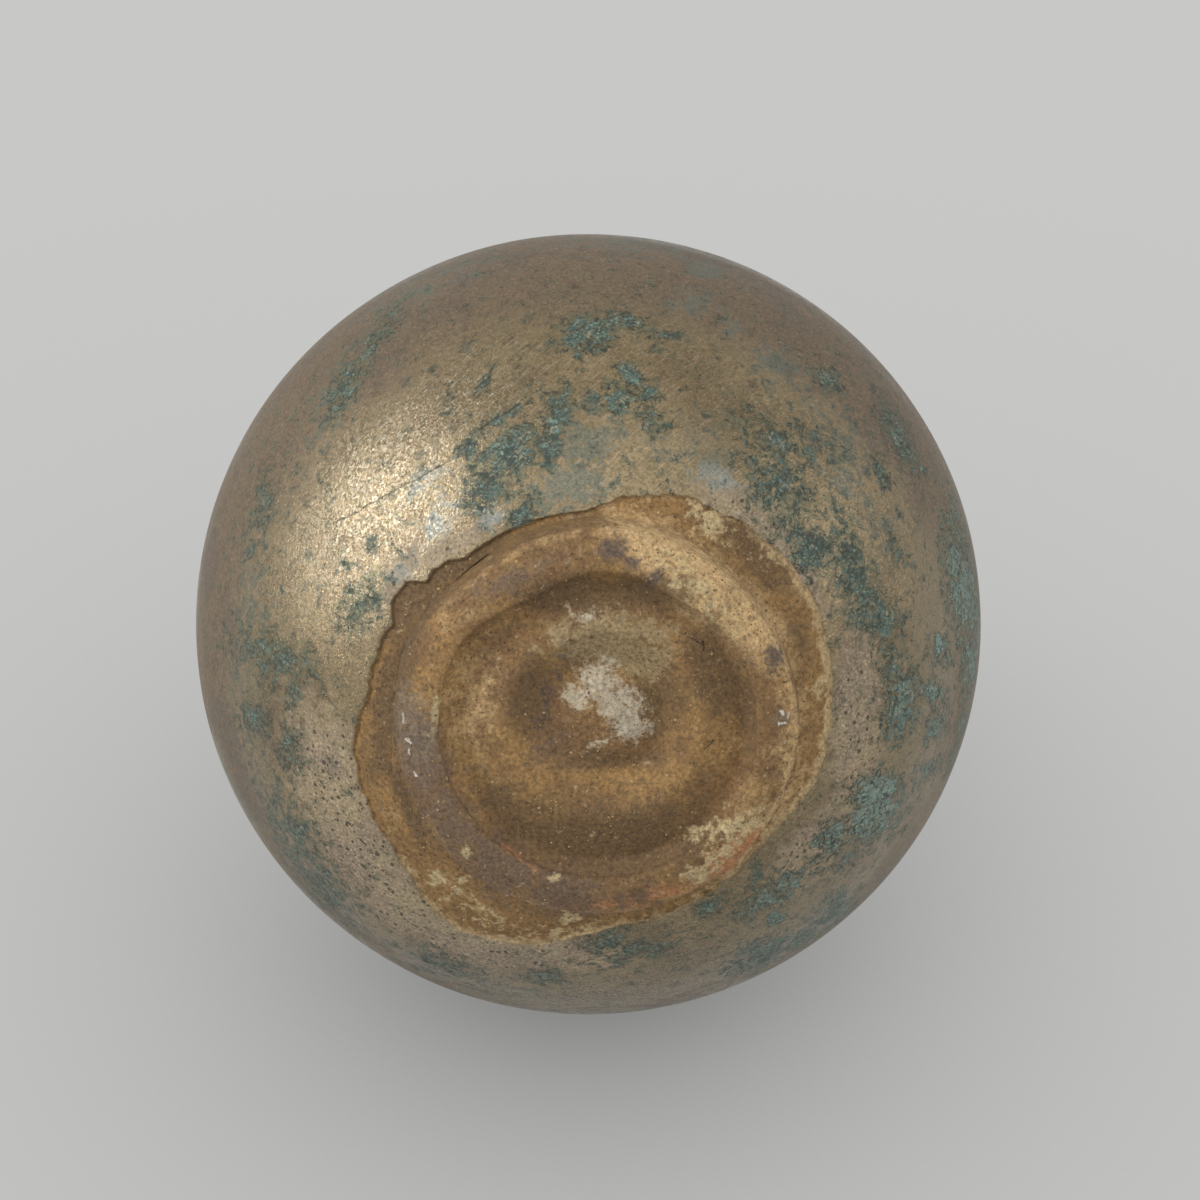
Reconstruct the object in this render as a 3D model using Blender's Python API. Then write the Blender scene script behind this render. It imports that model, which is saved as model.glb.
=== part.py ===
"""Globular earthenware ewer, as the thrown and luted pieces of clay that it is made of."""
import math

import bmesh
import bpy
from mathutils import Matrix, Vector
from mathutils.geometry import interpolate_bezier

# Every piece stops this far from its neighbour, where the slip would be.
LUTE_GAP = 0.0003

# Body: a squat globe thrown in two halves, lapped a little above the belly.
BELLY_RADIUS = 0.065
LOWER_DEPTH = 0.060
UPPER_RISE = 0.052
BODY_WALL = 0.005
SEAM_LIFT = 0.006
LAP_HEIGHT = 0.004

# Slip smeared inside over the two body joints.
BELLY_LUTE_HEIGHT = 0.010
BELLY_LUTE_THICKNESS = 0.0018
BASE_LUTE_WIDTH = 0.0035
BASE_LUTE_THICKNESS = 0.0016
LUTE_EDGE = 0.0006

# Foot ring: the resting land is at its inner edge, and the face is bevelled up from it.
FOOT_HEIGHT = 0.0076
FOOT_INNER_RADIUS = 0.0234
FOOT_LAND_WIDTH = 0.0018
FOOT_FACE_RADIUS = 0.0293
FOOT_BEVEL_RISE = 0.0027
FOOT_TOP_RADIUS = 0.0302
FOOT_ROUND = 0.0004

# Base: a thick disc on the foot ring that wedges in the bottom of the bowl and fills the ring down to a
# shallow recess, where turning has left a low ridge round a hollow.
BASE_MARGIN = 0.0020
BASE_TAPER = 0.0040
FLOOR_LIFT = 0.0020
RECESS_DEPTH = 0.0026
RIDGE_RADIUS = 0.0134
RIDGE_RISE = 0.0016
HOLLOW_RADIUS = 0.0050
HOLLOW_DEPTH = 0.0012

# Neck, its collar and the flared mouth.
NECK_RADIUS = 0.0185
NECK_WAIST = 0.0012
NECK_WALL = 0.0042
NECK_LENGTH = 0.035
SPIGOT_STEP = 0.0016
COLLAR_WIDTH = 0.0036
COLLAR_HEIGHT = 0.0052
MOUTH_RADIUS = 0.026
MOUTH_RISE = 0.019
MOUTH_WALL = 0.0038
MOUTH_FLARE = 1.7
LIP_REACH = 0.0070
LIP_HALF_ANGLE = math.radians(24.0)
PINCH_DEPTH = 0.0036
PINCH_ANGLE = math.radians(52.0)

# Handle: a strap from the shoulder to the neck.
HANDLE_WIDTH = 0.0160
HANDLE_THICKNESS = 0.0078
HANDLE_SETBACK = 0.0035
HANDLE_ROOT_INSET = 0.0195
HANDLE_BEND_RISE = 0.0230
HANDLE_TOP_DROP = 0.0105
HANDLE_ROOT_FLARE = 0.28
HANDLE_TENON = 0.0030
HANDLE_LOWER_PULL = 0.0105
HANDLE_UPPER_PULL = 0.0210
HANDLE_TOP_SLOPE = math.radians(17.0)
PAD_SPREAD = 0.0040
PAD_HEIGHT = 0.0052

# Fineness of the round forms.
STRAP_SIDES = 16
STRAP_SQUARENESS = 0.75
TURN_STEPS = 40
RECESS_STEPS = 12
ARC_STEP = math.radians(8.0)
MERGE_DISTANCE = 0.000001

# The foot ring's top carries the base, and the belly's height follows from the curve above it.
FOOT_SEAT = FOOT_HEIGHT + LUTE_GAP
BELLY_HEIGHT = FOOT_SEAT + LOWER_DEPTH * math.sqrt(1.0 - (FOOT_TOP_RADIUS / BELLY_RADIUS) ** 2)

GLAZED = (0.205, 0.165, 0.115)
BARE_CLAY = (0.235, 0.140, 0.070)


def clay_material(name, colour, roughness, metallic):
    material = bpy.data.materials.new(name)
    material.use_nodes = True
    shader = material.node_tree.nodes["Principled BSDF"]
    shader.inputs["Base Color"].default_value = (*colour, 1.0)
    shader.inputs["Roughness"].default_value = roughness
    shader.inputs["Metallic"].default_value = metallic
    material.diffuse_color = (*colour, 1.0)
    return material


def glazed(name):
    return clay_material(name + "_glaze", GLAZED, 0.35, 0.0)


def bare(name):
    return clay_material(name + "_clay", BARE_CLAY, 0.9, 0.0)


def finished(name, form, material):
    bmesh.ops.remove_doubles(form, verts=form.verts, dist=MERGE_DISTANCE)
    bmesh.ops.recalc_face_normals(form, faces=form.faces)
    mesh = bpy.data.meshes.new(name)
    form.to_mesh(mesh)
    form.free()
    mesh.shade_smooth()
    mesh.set_sharp_from_angle(angle=math.radians(35.0))
    piece = bpy.data.objects.new(name, mesh)
    bpy.context.collection.objects.link(piece)
    if material:
        mesh.materials.append(material)
        piece.parent = ewer
    else:
        piece.hide_render = True
        piece.display_type = "WIRE"
    return piece


def turned_form(outline, on_axis=False):
    """Spin an outline of (radius, height) points; one that ends on the axis stays open there."""
    form = bmesh.new()
    points = [form.verts.new((radius, 0.0, height)) for radius, height in outline]
    pairs = list(zip(points, points[1:]))
    if not on_axis:
        pairs.append((points[-1], points[0]))
    edges = [form.edges.new(pair) for pair in pairs]
    bmesh.ops.spin(
        form, geom=points + edges, cent=(0.0, 0.0, 0.0), axis=(0.0, 0.0, 1.0),
        angle=math.tau, steps=TURN_STEPS, use_merge=True, use_duplicate=False,
    )
    return form


def arc(width, depth, start, end):
    """Points of an ellipse about the belly, by angle from its downward pole."""
    count = max(2, math.ceil(abs(end - start) / ARC_STEP))
    points = []
    for index in range(count + 1):
        turn = start + (end - start) * index / count
        points.append((width * math.sin(turn), BELLY_HEIGHT - depth * math.cos(turn)))
    return points


def lower_height(radius, inset=0.0):
    share = radius / (BELLY_RADIUS - inset)
    return BELLY_HEIGHT - (LOWER_DEPTH - inset) * math.sqrt(1.0 - share * share)


def upper_height(radius, inset=0.0):
    share = radius / (BELLY_RADIUS - inset)
    return BELLY_HEIGHT + (UPPER_RISE - inset) * math.sqrt(1.0 - share * share)


def upper_radius(height, inset=0.0):
    share = (height - BELLY_HEIGHT) / (UPPER_RISE - inset)
    return (BELLY_RADIUS - inset) * math.sqrt(1.0 - share * share)


def lower_arc(start_radius, end_radius, inset=0.0):
    width = BELLY_RADIUS - inset
    start = math.asin(min(1.0, start_radius / width))
    end = math.asin(min(1.0, end_radius / width))
    return arc(width, LOWER_DEPTH - inset, start, end)


def upper_arc(start_height, end_height, inset=0.0):
    depth = UPPER_RISE - inset
    start = math.pi / 2 + math.asin((start_height - BELLY_HEIGHT) / depth)
    end = math.pi / 2 + math.asin((end_height - BELLY_HEIGHT) / depth)
    return arc(BELLY_RADIUS - inset, depth, start, end)


# Places that neighbours share.
BASE_RADIUS = FOOT_TOP_RADIUS + BASE_MARGIN
BASE_INNER_RADIUS = BASE_RADIUS - BASE_TAPER
BASE_INNER_HEIGHT = lower_height(BASE_INNER_RADIUS, BODY_WALL)
SEAT_GAP = LUTE_GAP * math.hypot(BASE_TAPER, BODY_WALL) / BODY_WALL
PLUG_RADIUS = FOOT_INNER_RADIUS - FOOT_ROUND - LUTE_GAP
FLOOR_HEIGHT = FOOT_SEAT + FLOOR_LIFT
SEAM_HEIGHT = BELLY_HEIGHT + SEAM_LIFT
LAP_RADIUS = upper_radius(SEAM_HEIGHT) - BODY_WALL / 2
LAP_TOP = SEAM_HEIGHT + LAP_HEIGHT
SEAT_RADIUS = NECK_RADIUS + LUTE_GAP
SEAT_HEIGHT = upper_height(SEAT_RADIUS)
SPIGOT_RADIUS = NECK_RADIUS - SPIGOT_STEP
NECK_BORE = NECK_RADIUS - NECK_WALL
NECK_FOOT = SEAT_HEIGHT + LUTE_GAP
NECK_TOP = NECK_FOOT + NECK_LENGTH
COLLAR_RADIUS = NECK_RADIUS + COLLAR_WIDTH
NECK_LAP_RADIUS = NECK_RADIUS - NECK_WALL / 2
LIP_ROUND = MOUTH_WALL / 2
MOUTH_HEIGHT = NECK_TOP + MOUTH_RISE
RIM_HEIGHT = MOUTH_HEIGHT - LIP_ROUND
HANDLE_ROOT_RADIUS = BELLY_RADIUS - HANDLE_ROOT_INSET
HANDLE_REACH = BELLY_RADIUS - HANDLE_SETBACK
HANDLE_TOP_HEIGHT = NECK_TOP - HANDLE_TOP_DROP


def neck_radius(height):
    share = (height - NECK_FOOT) / (NECK_TOP - NECK_FOOT)
    return NECK_RADIUS - NECK_WAIST * math.sin(math.pi * min(1.0, max(0.0, share)))


def mouth_radius(height):
    share = max(0.0, height - NECK_TOP) / (RIM_HEIGHT - NECK_TOP)
    return NECK_RADIUS + (MOUTH_RADIUS - NECK_RADIUS) * share**MOUTH_FLARE


def collar_section():
    """Outer face of the collar, a quarter ellipse from the shoulder up to the neck."""
    inside = NECK_RADIUS + LUTE_GAP
    bottom = upper_height(COLLAR_RADIUS) + 2.0 * LUTE_GAP
    top = SEAT_HEIGHT + COLLAR_HEIGHT
    points = []
    for index in range(7):
        turn = math.pi / 2 * index / 6
        radius = inside + (COLLAR_RADIUS - inside) * math.cos(turn)
        points.append((radius, bottom + (top - bottom) * math.sin(turn)))
    return points


def foot_ring():
    land = FOOT_INNER_RADIUS + FOOT_LAND_WIDTH
    outline = [
        (FOOT_INNER_RADIUS + FOOT_ROUND, 0.0),
        (land, 0.0),
        (FOOT_FACE_RADIUS - FOOT_ROUND, FOOT_BEVEL_RISE - FOOT_ROUND / 2),
        (FOOT_FACE_RADIUS, FOOT_BEVEL_RISE + FOOT_ROUND / 2),
        (FOOT_TOP_RADIUS, FOOT_HEIGHT),
        (FOOT_INNER_RADIUS - FOOT_ROUND, FOOT_HEIGHT),
        (FOOT_INNER_RADIUS, FOOT_ROUND),
    ]
    return finished("foot_ring", turned_form(outline), bare("foot_ring"))


def floor_height(radius):
    """Inside floor, a dish that runs up to the bowl's inner wall."""
    return FLOOR_HEIGHT + (BASE_INNER_HEIGHT - FLOOR_HEIGHT) * (radius / BASE_INNER_RADIUS) ** 2


def recess_height(radius):
    """Underside of the base: level in the hollow, down to the ridge, and up to the recess's edge."""
    if radius < RIDGE_RADIUS:
        rise = HOLLOW_DEPTH
        share = (RIDGE_RADIUS - radius) / (RIDGE_RADIUS - HOLLOW_RADIUS)
    else:
        rise = RIDGE_RISE
        share = (radius - RIDGE_RADIUS) / (PLUG_RADIUS - RIDGE_RADIUS)
    return RECESS_DEPTH - RIDGE_RISE + rise * (1.0 - math.cos(math.pi * min(1.0, share))) / 2


def base_disc():
    outline = []
    for index in range(RECESS_STEPS + 1):
        radius = PLUG_RADIUS * index / RECESS_STEPS
        outline.append((radius, recess_height(radius)))
    outline += [
        (PLUG_RADIUS, FOOT_SEAT),
        (FOOT_TOP_RADIUS, FOOT_SEAT),
        (BASE_RADIUS, lower_height(BASE_RADIUS)),
    ]
    for index in range(5):
        radius = BASE_INNER_RADIUS * (1.0 - index / 4)
        outline.append((radius, floor_height(radius)))
    return finished("base_disc", turned_form(outline, on_axis=True), bare("base_disc"))


def base_lute():
    outline = []
    top = []
    for index in range(5):
        share = index / 2 - 1.0
        radius = BASE_INNER_RADIUS + SEAT_GAP / 2 + share * BASE_LUTE_WIDTH
        inside = radius < BASE_INNER_RADIUS + SEAT_GAP
        bed = (floor_height(radius) if inside else lower_height(radius, BODY_WALL)) + 2.0 * LUTE_GAP
        outline.append((radius, bed))
        top.insert(0, (radius, bed + LUTE_EDGE + (BASE_LUTE_THICKNESS - LUTE_EDGE) * (1.0 - share * share)))
    return finished("base_lute", turned_form(outline + top), bare("base_lute"))


def lower_bowl():
    outline = lower_arc(BASE_RADIUS + SEAT_GAP, BELLY_RADIUS)
    outline += upper_arc(BELLY_HEIGHT, SEAM_HEIGHT)[1:]
    outline += [(LAP_RADIUS, SEAM_HEIGHT), (LAP_RADIUS, LAP_TOP)]
    outline += upper_arc(LAP_TOP, BELLY_HEIGHT, BODY_WALL)
    outline += lower_arc(BELLY_RADIUS - BODY_WALL, BASE_INNER_RADIUS + SEAT_GAP, BODY_WALL)[1:]
    return finished("lower_bowl", turned_form(outline), glazed("lower_bowl"))


def belly_lute():
    middle = LAP_TOP + LUTE_GAP / 2
    outline = []
    inside = []
    for index in range(5):
        share = index / 2 - 1.0
        height = middle + share * BELLY_LUTE_HEIGHT / 2
        wall = upper_radius(height, BODY_WALL) - 1.5 * LUTE_GAP
        bulge = LUTE_EDGE + (BELLY_LUTE_THICKNESS - LUTE_EDGE) * (1.0 - share * share)
        outline.append((wall, height))
        inside.insert(0, (wall - bulge, height))
    return finished("belly_lute", turned_form(outline + inside), bare("belly_lute"))


def shoulder():
    opening = SPIGOT_RADIUS + LUTE_GAP
    under = upper_height(opening, BODY_WALL)
    joint = LAP_RADIUS + LUTE_GAP
    outline = upper_arc(SEAM_HEIGHT + LUTE_GAP, SEAT_HEIGHT)
    outline.append((opening, SEAT_HEIGHT))
    outline += upper_arc(under, LAP_TOP + LUTE_GAP, BODY_WALL)
    outline += [(joint, LAP_TOP + LUTE_GAP), (joint, SEAM_HEIGHT + LUTE_GAP)]
    return finished("shoulder", turned_form(outline), glazed("shoulder"))


def neck():
    spigot_foot = upper_height(SPIGOT_RADIUS, BODY_WALL)
    outline = [(NECK_BORE, spigot_foot), (SPIGOT_RADIUS, spigot_foot), (SPIGOT_RADIUS, NECK_FOOT)]
    for index in range(7):
        height = NECK_FOOT + (NECK_TOP - NECK_FOOT) * index / 6
        outline.append((neck_radius(height), height))
    outline += [(NECK_LAP_RADIUS, NECK_TOP), (NECK_LAP_RADIUS, NECK_TOP + LAP_HEIGHT)]
    outline.append((NECK_BORE, NECK_TOP + LAP_HEIGHT))
    for index in range(5, 0, -1):
        height = NECK_FOOT + (NECK_TOP - NECK_FOOT) * index / 6
        outline.append((neck_radius(height) - NECK_WALL, height))
    return finished("neck", turned_form(outline), glazed("neck"))


def neck_collar():
    outline = [(NECK_RADIUS + LUTE_GAP, NECK_FOOT)] + collar_section()
    return finished("neck_collar", turned_form(outline), glazed("neck_collar"))


def mouth():
    lap_foot = NECK_TOP + LUTE_GAP
    lap_top = NECK_TOP + LAP_HEIGHT + LUTE_GAP
    heights = [NECK_TOP + (RIM_HEIGHT - NECK_TOP) * index / 6 for index in range(7)]
    outline = [(NECK_LAP_RADIUS + LUTE_GAP, lap_foot), (mouth_radius(lap_foot), lap_foot)]
    outline += [(mouth_radius(height), height) for height in heights[1:]]
    for index in range(1, 6):
        turn = math.pi * index / 6
        across = MOUTH_RADIUS - LIP_ROUND + LIP_ROUND * math.cos(turn)
        outline.append((across, RIM_HEIGHT + LIP_ROUND * math.sin(turn)))
    for height in reversed(heights):
        if height > lap_top:
            outline.append((mouth_radius(height) - MOUTH_WALL, height))
    outline += [(NECK_BORE + LUTE_GAP, lap_top), (NECK_LAP_RADIUS + LUTE_GAP, lap_top)]
    form = turned_form(outline)
    for vertex in form.verts:
        pull_lip(vertex.co)
    return finished("mouth", form, glazed("mouth"))


def pull_lip(place):
    """Draw the rim out to a pouring lip on -X and nip it in on both sides of the lip."""
    rise = (place.z - NECK_TOP - LAP_HEIGHT) / (MOUTH_HEIGHT - NECK_TOP - LAP_HEIGHT)
    if rise <= 0.0:
        return
    radius = math.hypot(place.x, place.y)
    turn = abs(math.atan2(place.y, -place.x))
    lip = math.exp(-((turn / LIP_HALF_ANGLE) ** 2))
    nip = math.exp(-(((turn - PINCH_ANGLE) / LIP_HALF_ANGLE) ** 2))
    grown = radius + rise * rise * (LIP_REACH * lip - PINCH_DEPTH * nip)
    place.x *= grown / radius
    place.y *= grown / radius


def shoulder_root():
    """Where the handle leaves the shoulder, and the way that the surface faces there."""
    place = Vector((HANDLE_ROOT_RADIUS, 0.0, upper_height(HANDLE_ROOT_RADIUS)))
    facing = Vector((place.x / BELLY_RADIUS**2, 0.0, (place.z - BELLY_HEIGHT) / UPPER_RISE**2))
    return place, facing.normalized()


def neck_root():
    """Where the handle meets the neck, and the way that it comes in."""
    place = Vector((neck_radius(HANDLE_TOP_HEIGHT), 0.0, HANDLE_TOP_HEIGHT))
    return place, Vector((math.cos(HANDLE_TOP_SLOPE), 0.0, math.sin(HANDLE_TOP_SLOPE)))


def handle_path():
    """Centre line in the X-Z plane, with its outermost point at the reach."""
    low, low_way = shoulder_root()
    high, high_way = neck_root()
    bend = Vector((HANDLE_REACH - HANDLE_THICKNESS / 2, 0.0, low.z + HANDLE_BEND_RISE))
    rise = Vector((0.0, 0.0, 1.0))
    lower = interpolate_bezier(
        low - low_way * HANDLE_TENON, low + low_way * HANDLE_LOWER_PULL,
        bend - rise * HANDLE_LOWER_PULL, bend, 12,
    )
    upper = interpolate_bezier(
        bend, bend + rise * HANDLE_UPPER_PULL,
        high + high_way * HANDLE_UPPER_PULL, high - high_way * HANDLE_TENON, 14,
    )
    return lower + upper[1:]


def strap_form(margin):
    """The strap along its path, grown all round by a margin."""
    path = handle_path()
    last = len(path) - 1
    form = bmesh.new()
    rings = []
    for index, place in enumerate(path):
        ahead = path[min(index + 1, last)] - path[max(index - 1, 0)]
        side = Vector((-ahead.z, 0.0, ahead.x)).normalized()
        swell = 1.0 + HANDLE_ROOT_FLARE * abs(2.0 * index / last - 1.0) ** 3
        wide = HANDLE_WIDTH / 2 * swell + margin
        thick = HANDLE_THICKNESS / 2 + margin
        ring = []
        for step in range(STRAP_SIDES):
            turn = math.tau * step / STRAP_SIDES
            across = math.copysign(abs(math.cos(turn)) ** STRAP_SQUARENESS, math.cos(turn)) * wide
            through = math.copysign(abs(math.sin(turn)) ** STRAP_SQUARENESS, math.sin(turn)) * thick
            ring.append(form.verts.new(place + Vector((0.0, across, 0.0)) + side * through))
        rings.append(ring)
    for near, far in zip(rings, rings[1:]):
        for step in range(STRAP_SIDES):
            after = (step + 1) % STRAP_SIDES
            form.faces.new((near[step], near[after], far[after], far[step]))
    form.faces.new(rings[0])
    form.faces.new(rings[-1])
    return form


def vessel_clearance():
    """Solid of the body, collar, neck and mouth, grown by the joint gap, to trim what sits on it."""
    spread = BELLY_RADIUS + LUTE_GAP
    share = (upper_height(COLLAR_RADIUS) - BELLY_HEIGHT) / UPPER_RISE
    outline = [(0.0, BELLY_HEIGHT)]
    outline += arc(spread, UPPER_RISE + LUTE_GAP, math.pi / 2, math.pi / 2 + math.asin(share))
    outline += [(radius + LUTE_GAP, height + LUTE_GAP) for radius, height in collar_section()]
    for index in range(2, 7):
        height = NECK_FOOT + (NECK_TOP - NECK_FOOT) * index / 6
        outline.append((neck_radius(height) + LUTE_GAP, height))
    for index in range(1, 7):
        height = NECK_TOP + (RIM_HEIGHT - NECK_TOP) * index / 6
        outline.append((mouth_radius(height) + LUTE_GAP, height))
    outline.append((0.0, MOUTH_HEIGHT + LUTE_GAP))
    return finished("vessel_clearance", turned_form(outline, on_axis=True), None)


def trim(piece, cutter):
    cut = piece.modifiers.new("trim_" + cutter.name, "BOOLEAN")
    cut.operation = "DIFFERENCE"
    cut.solver = "EXACT"
    cut.object = cutter


def handle(vessel):
    piece = finished("handle", strap_form(0.0), glazed("handle"))
    trim(piece, vessel)


def lute_pad(name, seat, vessel, strap):
    """A lens of clay pressed round one end of the handle."""
    place, outward = seat
    across = Vector((0.0, 1.0, 0.0))
    wide = HANDLE_WIDTH / 2 * (1.0 + HANDLE_ROOT_FLARE) + PAD_SPREAD
    tall = HANDLE_THICKNESS / 2 + PAD_SPREAD
    axes = Matrix((across.cross(outward) * tall, across * wide, outward * PAD_HEIGHT)).transposed()
    form = bmesh.new()
    bmesh.ops.create_uvsphere(form, u_segments=24, v_segments=14, radius=1.0)
    for vertex in form.verts:
        vertex.co = place + axes @ vertex.co
    piece = finished(name, form, glazed(name))
    trim(piece, vessel)
    trim(piece, strap)


for old in list(bpy.data.objects):
    bpy.data.objects.remove(old, do_unlink=True)

ewer = bpy.data.objects.new("ewer", None)
bpy.context.collection.objects.link(ewer)

foot_ring()
base_disc()
base_lute()
lower_bowl()
belly_lute()
shoulder()
neck()
neck_collar()
mouth()

vessel_cutter = vessel_clearance()
strap_cutter = finished("handle_clearance", strap_form(LUTE_GAP), None)
handle(vessel_cutter)
lute_pad("handle_lower_lute", shoulder_root(), vessel_cutter, strap_cutter)
lute_pad("handle_upper_lute", neck_root(), vessel_cutter, strap_cutter)
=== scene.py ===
import math
from functools import partial

import bmesh
import bpy
import numpy as np
from mathutils import Matrix, Vector, noise


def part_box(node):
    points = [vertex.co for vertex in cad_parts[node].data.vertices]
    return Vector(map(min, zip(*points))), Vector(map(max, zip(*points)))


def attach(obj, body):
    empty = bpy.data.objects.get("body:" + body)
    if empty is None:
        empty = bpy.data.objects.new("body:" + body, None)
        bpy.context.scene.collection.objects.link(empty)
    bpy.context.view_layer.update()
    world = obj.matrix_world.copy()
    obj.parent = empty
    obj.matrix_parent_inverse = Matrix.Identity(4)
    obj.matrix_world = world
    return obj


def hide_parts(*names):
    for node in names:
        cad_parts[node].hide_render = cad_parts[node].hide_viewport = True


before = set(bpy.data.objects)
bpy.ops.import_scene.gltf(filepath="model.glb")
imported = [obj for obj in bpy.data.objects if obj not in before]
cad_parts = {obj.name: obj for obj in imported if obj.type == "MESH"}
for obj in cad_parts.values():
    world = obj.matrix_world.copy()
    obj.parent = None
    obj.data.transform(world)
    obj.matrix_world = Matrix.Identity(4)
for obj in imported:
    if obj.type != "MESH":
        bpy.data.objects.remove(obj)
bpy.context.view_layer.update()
mm = 0.001

# The camera stands under the upright frame and looks at the foot, as the photograph does.
photo = {
    "spot": Vector((-0.0111, -0.1227, -0.4225)),
    "aim": Vector((0.0019, -0.0043, 0.0610)),  # what the middle of the picture shows
    "up": Vector((0.0, -1.0, 0.0)),
    "lens": 90.0,  # mm
    "sensor": 36.0,  # mm
    "pixels": 1200,
    "grazing": 0.15,  # marks fade out on faces that are steeper to the camera
    "seen": 0.2,  # on steeper faces the photograph is no guide
}
photoBack = (photo["spot"] - photo["aim"]).normalized()
photoRight = photo["up"].cross(photoBack).normalized()
photoUp = photoBack.cross(photoRight)
photoFocus = photo["pixels"] * photo["lens"] / photo["sensor"]


def newObject(name, data):
    made = bpy.data.objects.new(name, data)
    bpy.context.scene.collection.objects.link(made)
    return made


def addCamera():
    data = bpy.data.cameras.new("photo_camera")
    data.lens = photo["lens"]
    data.sensor_width = photo["sensor"]
    data.clip_start = 0.01
    camera = newObject("photo_camera", data)
    axes = Matrix((photoRight, photoUp, photoBack)).transposed()
    camera.matrix_world = Matrix.Translation(photo["spot"]) @ axes.to_4x4()
    bpy.context.scene.camera = camera


def toPhoto(points):
    away = points - np.array(photo["spot"])
    depth = -(away @ np.array(photoBack))
    middle = photo["pixels"] / 2
    across = middle + photoFocus * (away @ np.array(photoRight)) / depth
    down = middle - photoFocus * (away @ np.array(photoUp)) / depth
    return across, down


def fromPhoto(across, down, height):
    # where the line of sight through a pixel crosses a level plane
    middle = photo["pixels"] / 2
    way = photoRight * (across - middle) / photoFocus - photoUp * (down - middle) / photoFocus - photoBack
    return photo["spot"] + way * ((height - photo["spot"].z) / way.z)


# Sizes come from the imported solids; the curves follow the same rules as the solids do.
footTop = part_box("foot_ring")[1]
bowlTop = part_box("lower_bowl")[1]
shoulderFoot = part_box("shoulder")[0]
neckFoot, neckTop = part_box("neck")
collarFoot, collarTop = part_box("neck_collar")
mouthFoot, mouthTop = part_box("mouth")
joint = 0.3 * mm  # gap that the solids keep between pieces
globe = {"lowerDepth": 0.060, "upperRise": 0.052, "wall": 0.005}
globe["radius"] = bowlTop.x
globe["foot"] = footTop.z + joint
globe["middle"] = globe["foot"] + globe["lowerDepth"] * math.sqrt(1 - (footTop.x / globe["radius"]) ** 2)
globe["seam"] = shoulderFoot.z - joint / 2


def lowerHeight(radius, inset=0.0):
    share = np.clip(radius / (globe["radius"] - inset), 0, 1)
    return globe["middle"] - (globe["lowerDepth"] - inset) * np.sqrt(1 - share**2)


def upperHeight(radius, inset=0.0):
    share = np.clip(radius / (globe["radius"] - inset), 0, 1)
    return globe["middle"] + (globe["upperRise"] - inset) * np.sqrt(1 - share**2)


def upperRadius(height, inset=0.0):
    share = np.clip((height - globe["middle"]) / (globe["upperRise"] - inset), 0, 1)
    return (globe["radius"] - inset) * np.sqrt(1 - share**2)


def softened(corners):
    # an outline of (radius, height, how far the corner is worn back), with worn corners as curves
    outline = []
    for index, (radius, height, worn) in enumerate(corners):
        here = Vector((radius, height))
        if worn == 0:
            outline.append(here)
            continue
        before = Vector(corners[index - 1][:2])
        after = Vector(corners[index + 1][:2])
        start = here + (before - here).normalized() * worn
        end = here + (after - here).normalized() * worn
        for step in range(7):
            share = step / 6
            outline.append(start * (1 - share) ** 2 + here * 2 * share * (1 - share) + end * share**2)
    return [tuple(point) for point in outline]


def spaced(outline, spacing):
    # the same line with points at an even spacing
    line = np.array(outline)
    run = np.concatenate([[0], np.cumsum(np.linalg.norm(np.diff(line, axis=0), axis=1))])
    stations = np.linspace(0, run[-1], max(2, round(run[-1] / spacing)) + 1)
    return [(np.interp(s, run, line[:, 0]), np.interp(s, run, line[:, 1])) for s in stations]


def feedNode(tree, node, feeds):
    for name, value in feeds.items():
        if isinstance(value, bpy.types.NodeSocket):
            tree.links.new(value, node.inputs[name])
        else:
            node.inputs[name].default_value = value


def addNode(tree, kind, *feeds, output=0, **settings):
    # feeds go to the inputs in order, or by name or number where they are a dictionary;
    # gives back one output of the new node, or all of them where output is None
    node = tree.nodes.new(kind)
    for name, value in settings.items():
        setattr(node, name, value)
    feedNode(tree, node, feeds[0] if feeds and isinstance(feeds[0], dict) else dict(enumerate(feeds)))
    return node.outputs if output is None else node.outputs[output]


def linear(code):
    parts = [int(code[start:start + 2], 16) / 255 for start in (1, 3, 5)]
    return (*[part / 12.92 if part < 0.04045 else ((part + 0.055) / 1.055) ** 2.4 for part in parts], 1.0)


def nodeTree(name, inputs):
    tree = bpy.data.node_groups.new(name, "GeometryNodeTree")
    for label, kind in inputs.items():
        tree.interface.new_socket(label, in_out="INPUT", socket_type="NodeSocket" + kind)
    tree.interface.new_socket("Geometry", in_out="OUTPUT", socket_type="NodeSocketGeometry")
    return tree


def gridRound(add, columns, rows):
    # a grid to close into a tube, with the row of each point and its angle round the tube
    seams = add("ShaderNodeMath", columns, 1.0, operation="ADD")
    grid = add("GeometryNodeMeshGrid", {"Vertices X": seams, "Vertices Y": rows}, output="Mesh")
    index = add("GeometryNodeInputIndex")
    row = add("ShaderNodeMath", index, rows, operation="MODULO")
    share = add("ShaderNodeMath", index, rows, operation="DIVIDE")
    column = add("ShaderNodeMath", share, operation="FLOOR")
    turns = add("ShaderNodeMath", column, columns, operation="DIVIDE")
    return grid, row, add("ShaderNodeMath", turns, math.tau, operation="MULTIPLY")


def coatForm(add, form, material):
    # how a tree ends that makes one smooth form
    smooth = add("GeometryNodeSetShadeSmooth", {"Geometry": form})
    coated = add("GeometryNodeSetMaterial", {"Geometry": smooth, "Material": material})
    real = add("GeometryNodeRealizeInstances", {"Geometry": coated})
    add("NodeGroupOutput", {"Geometry": real}, output=None)


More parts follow.
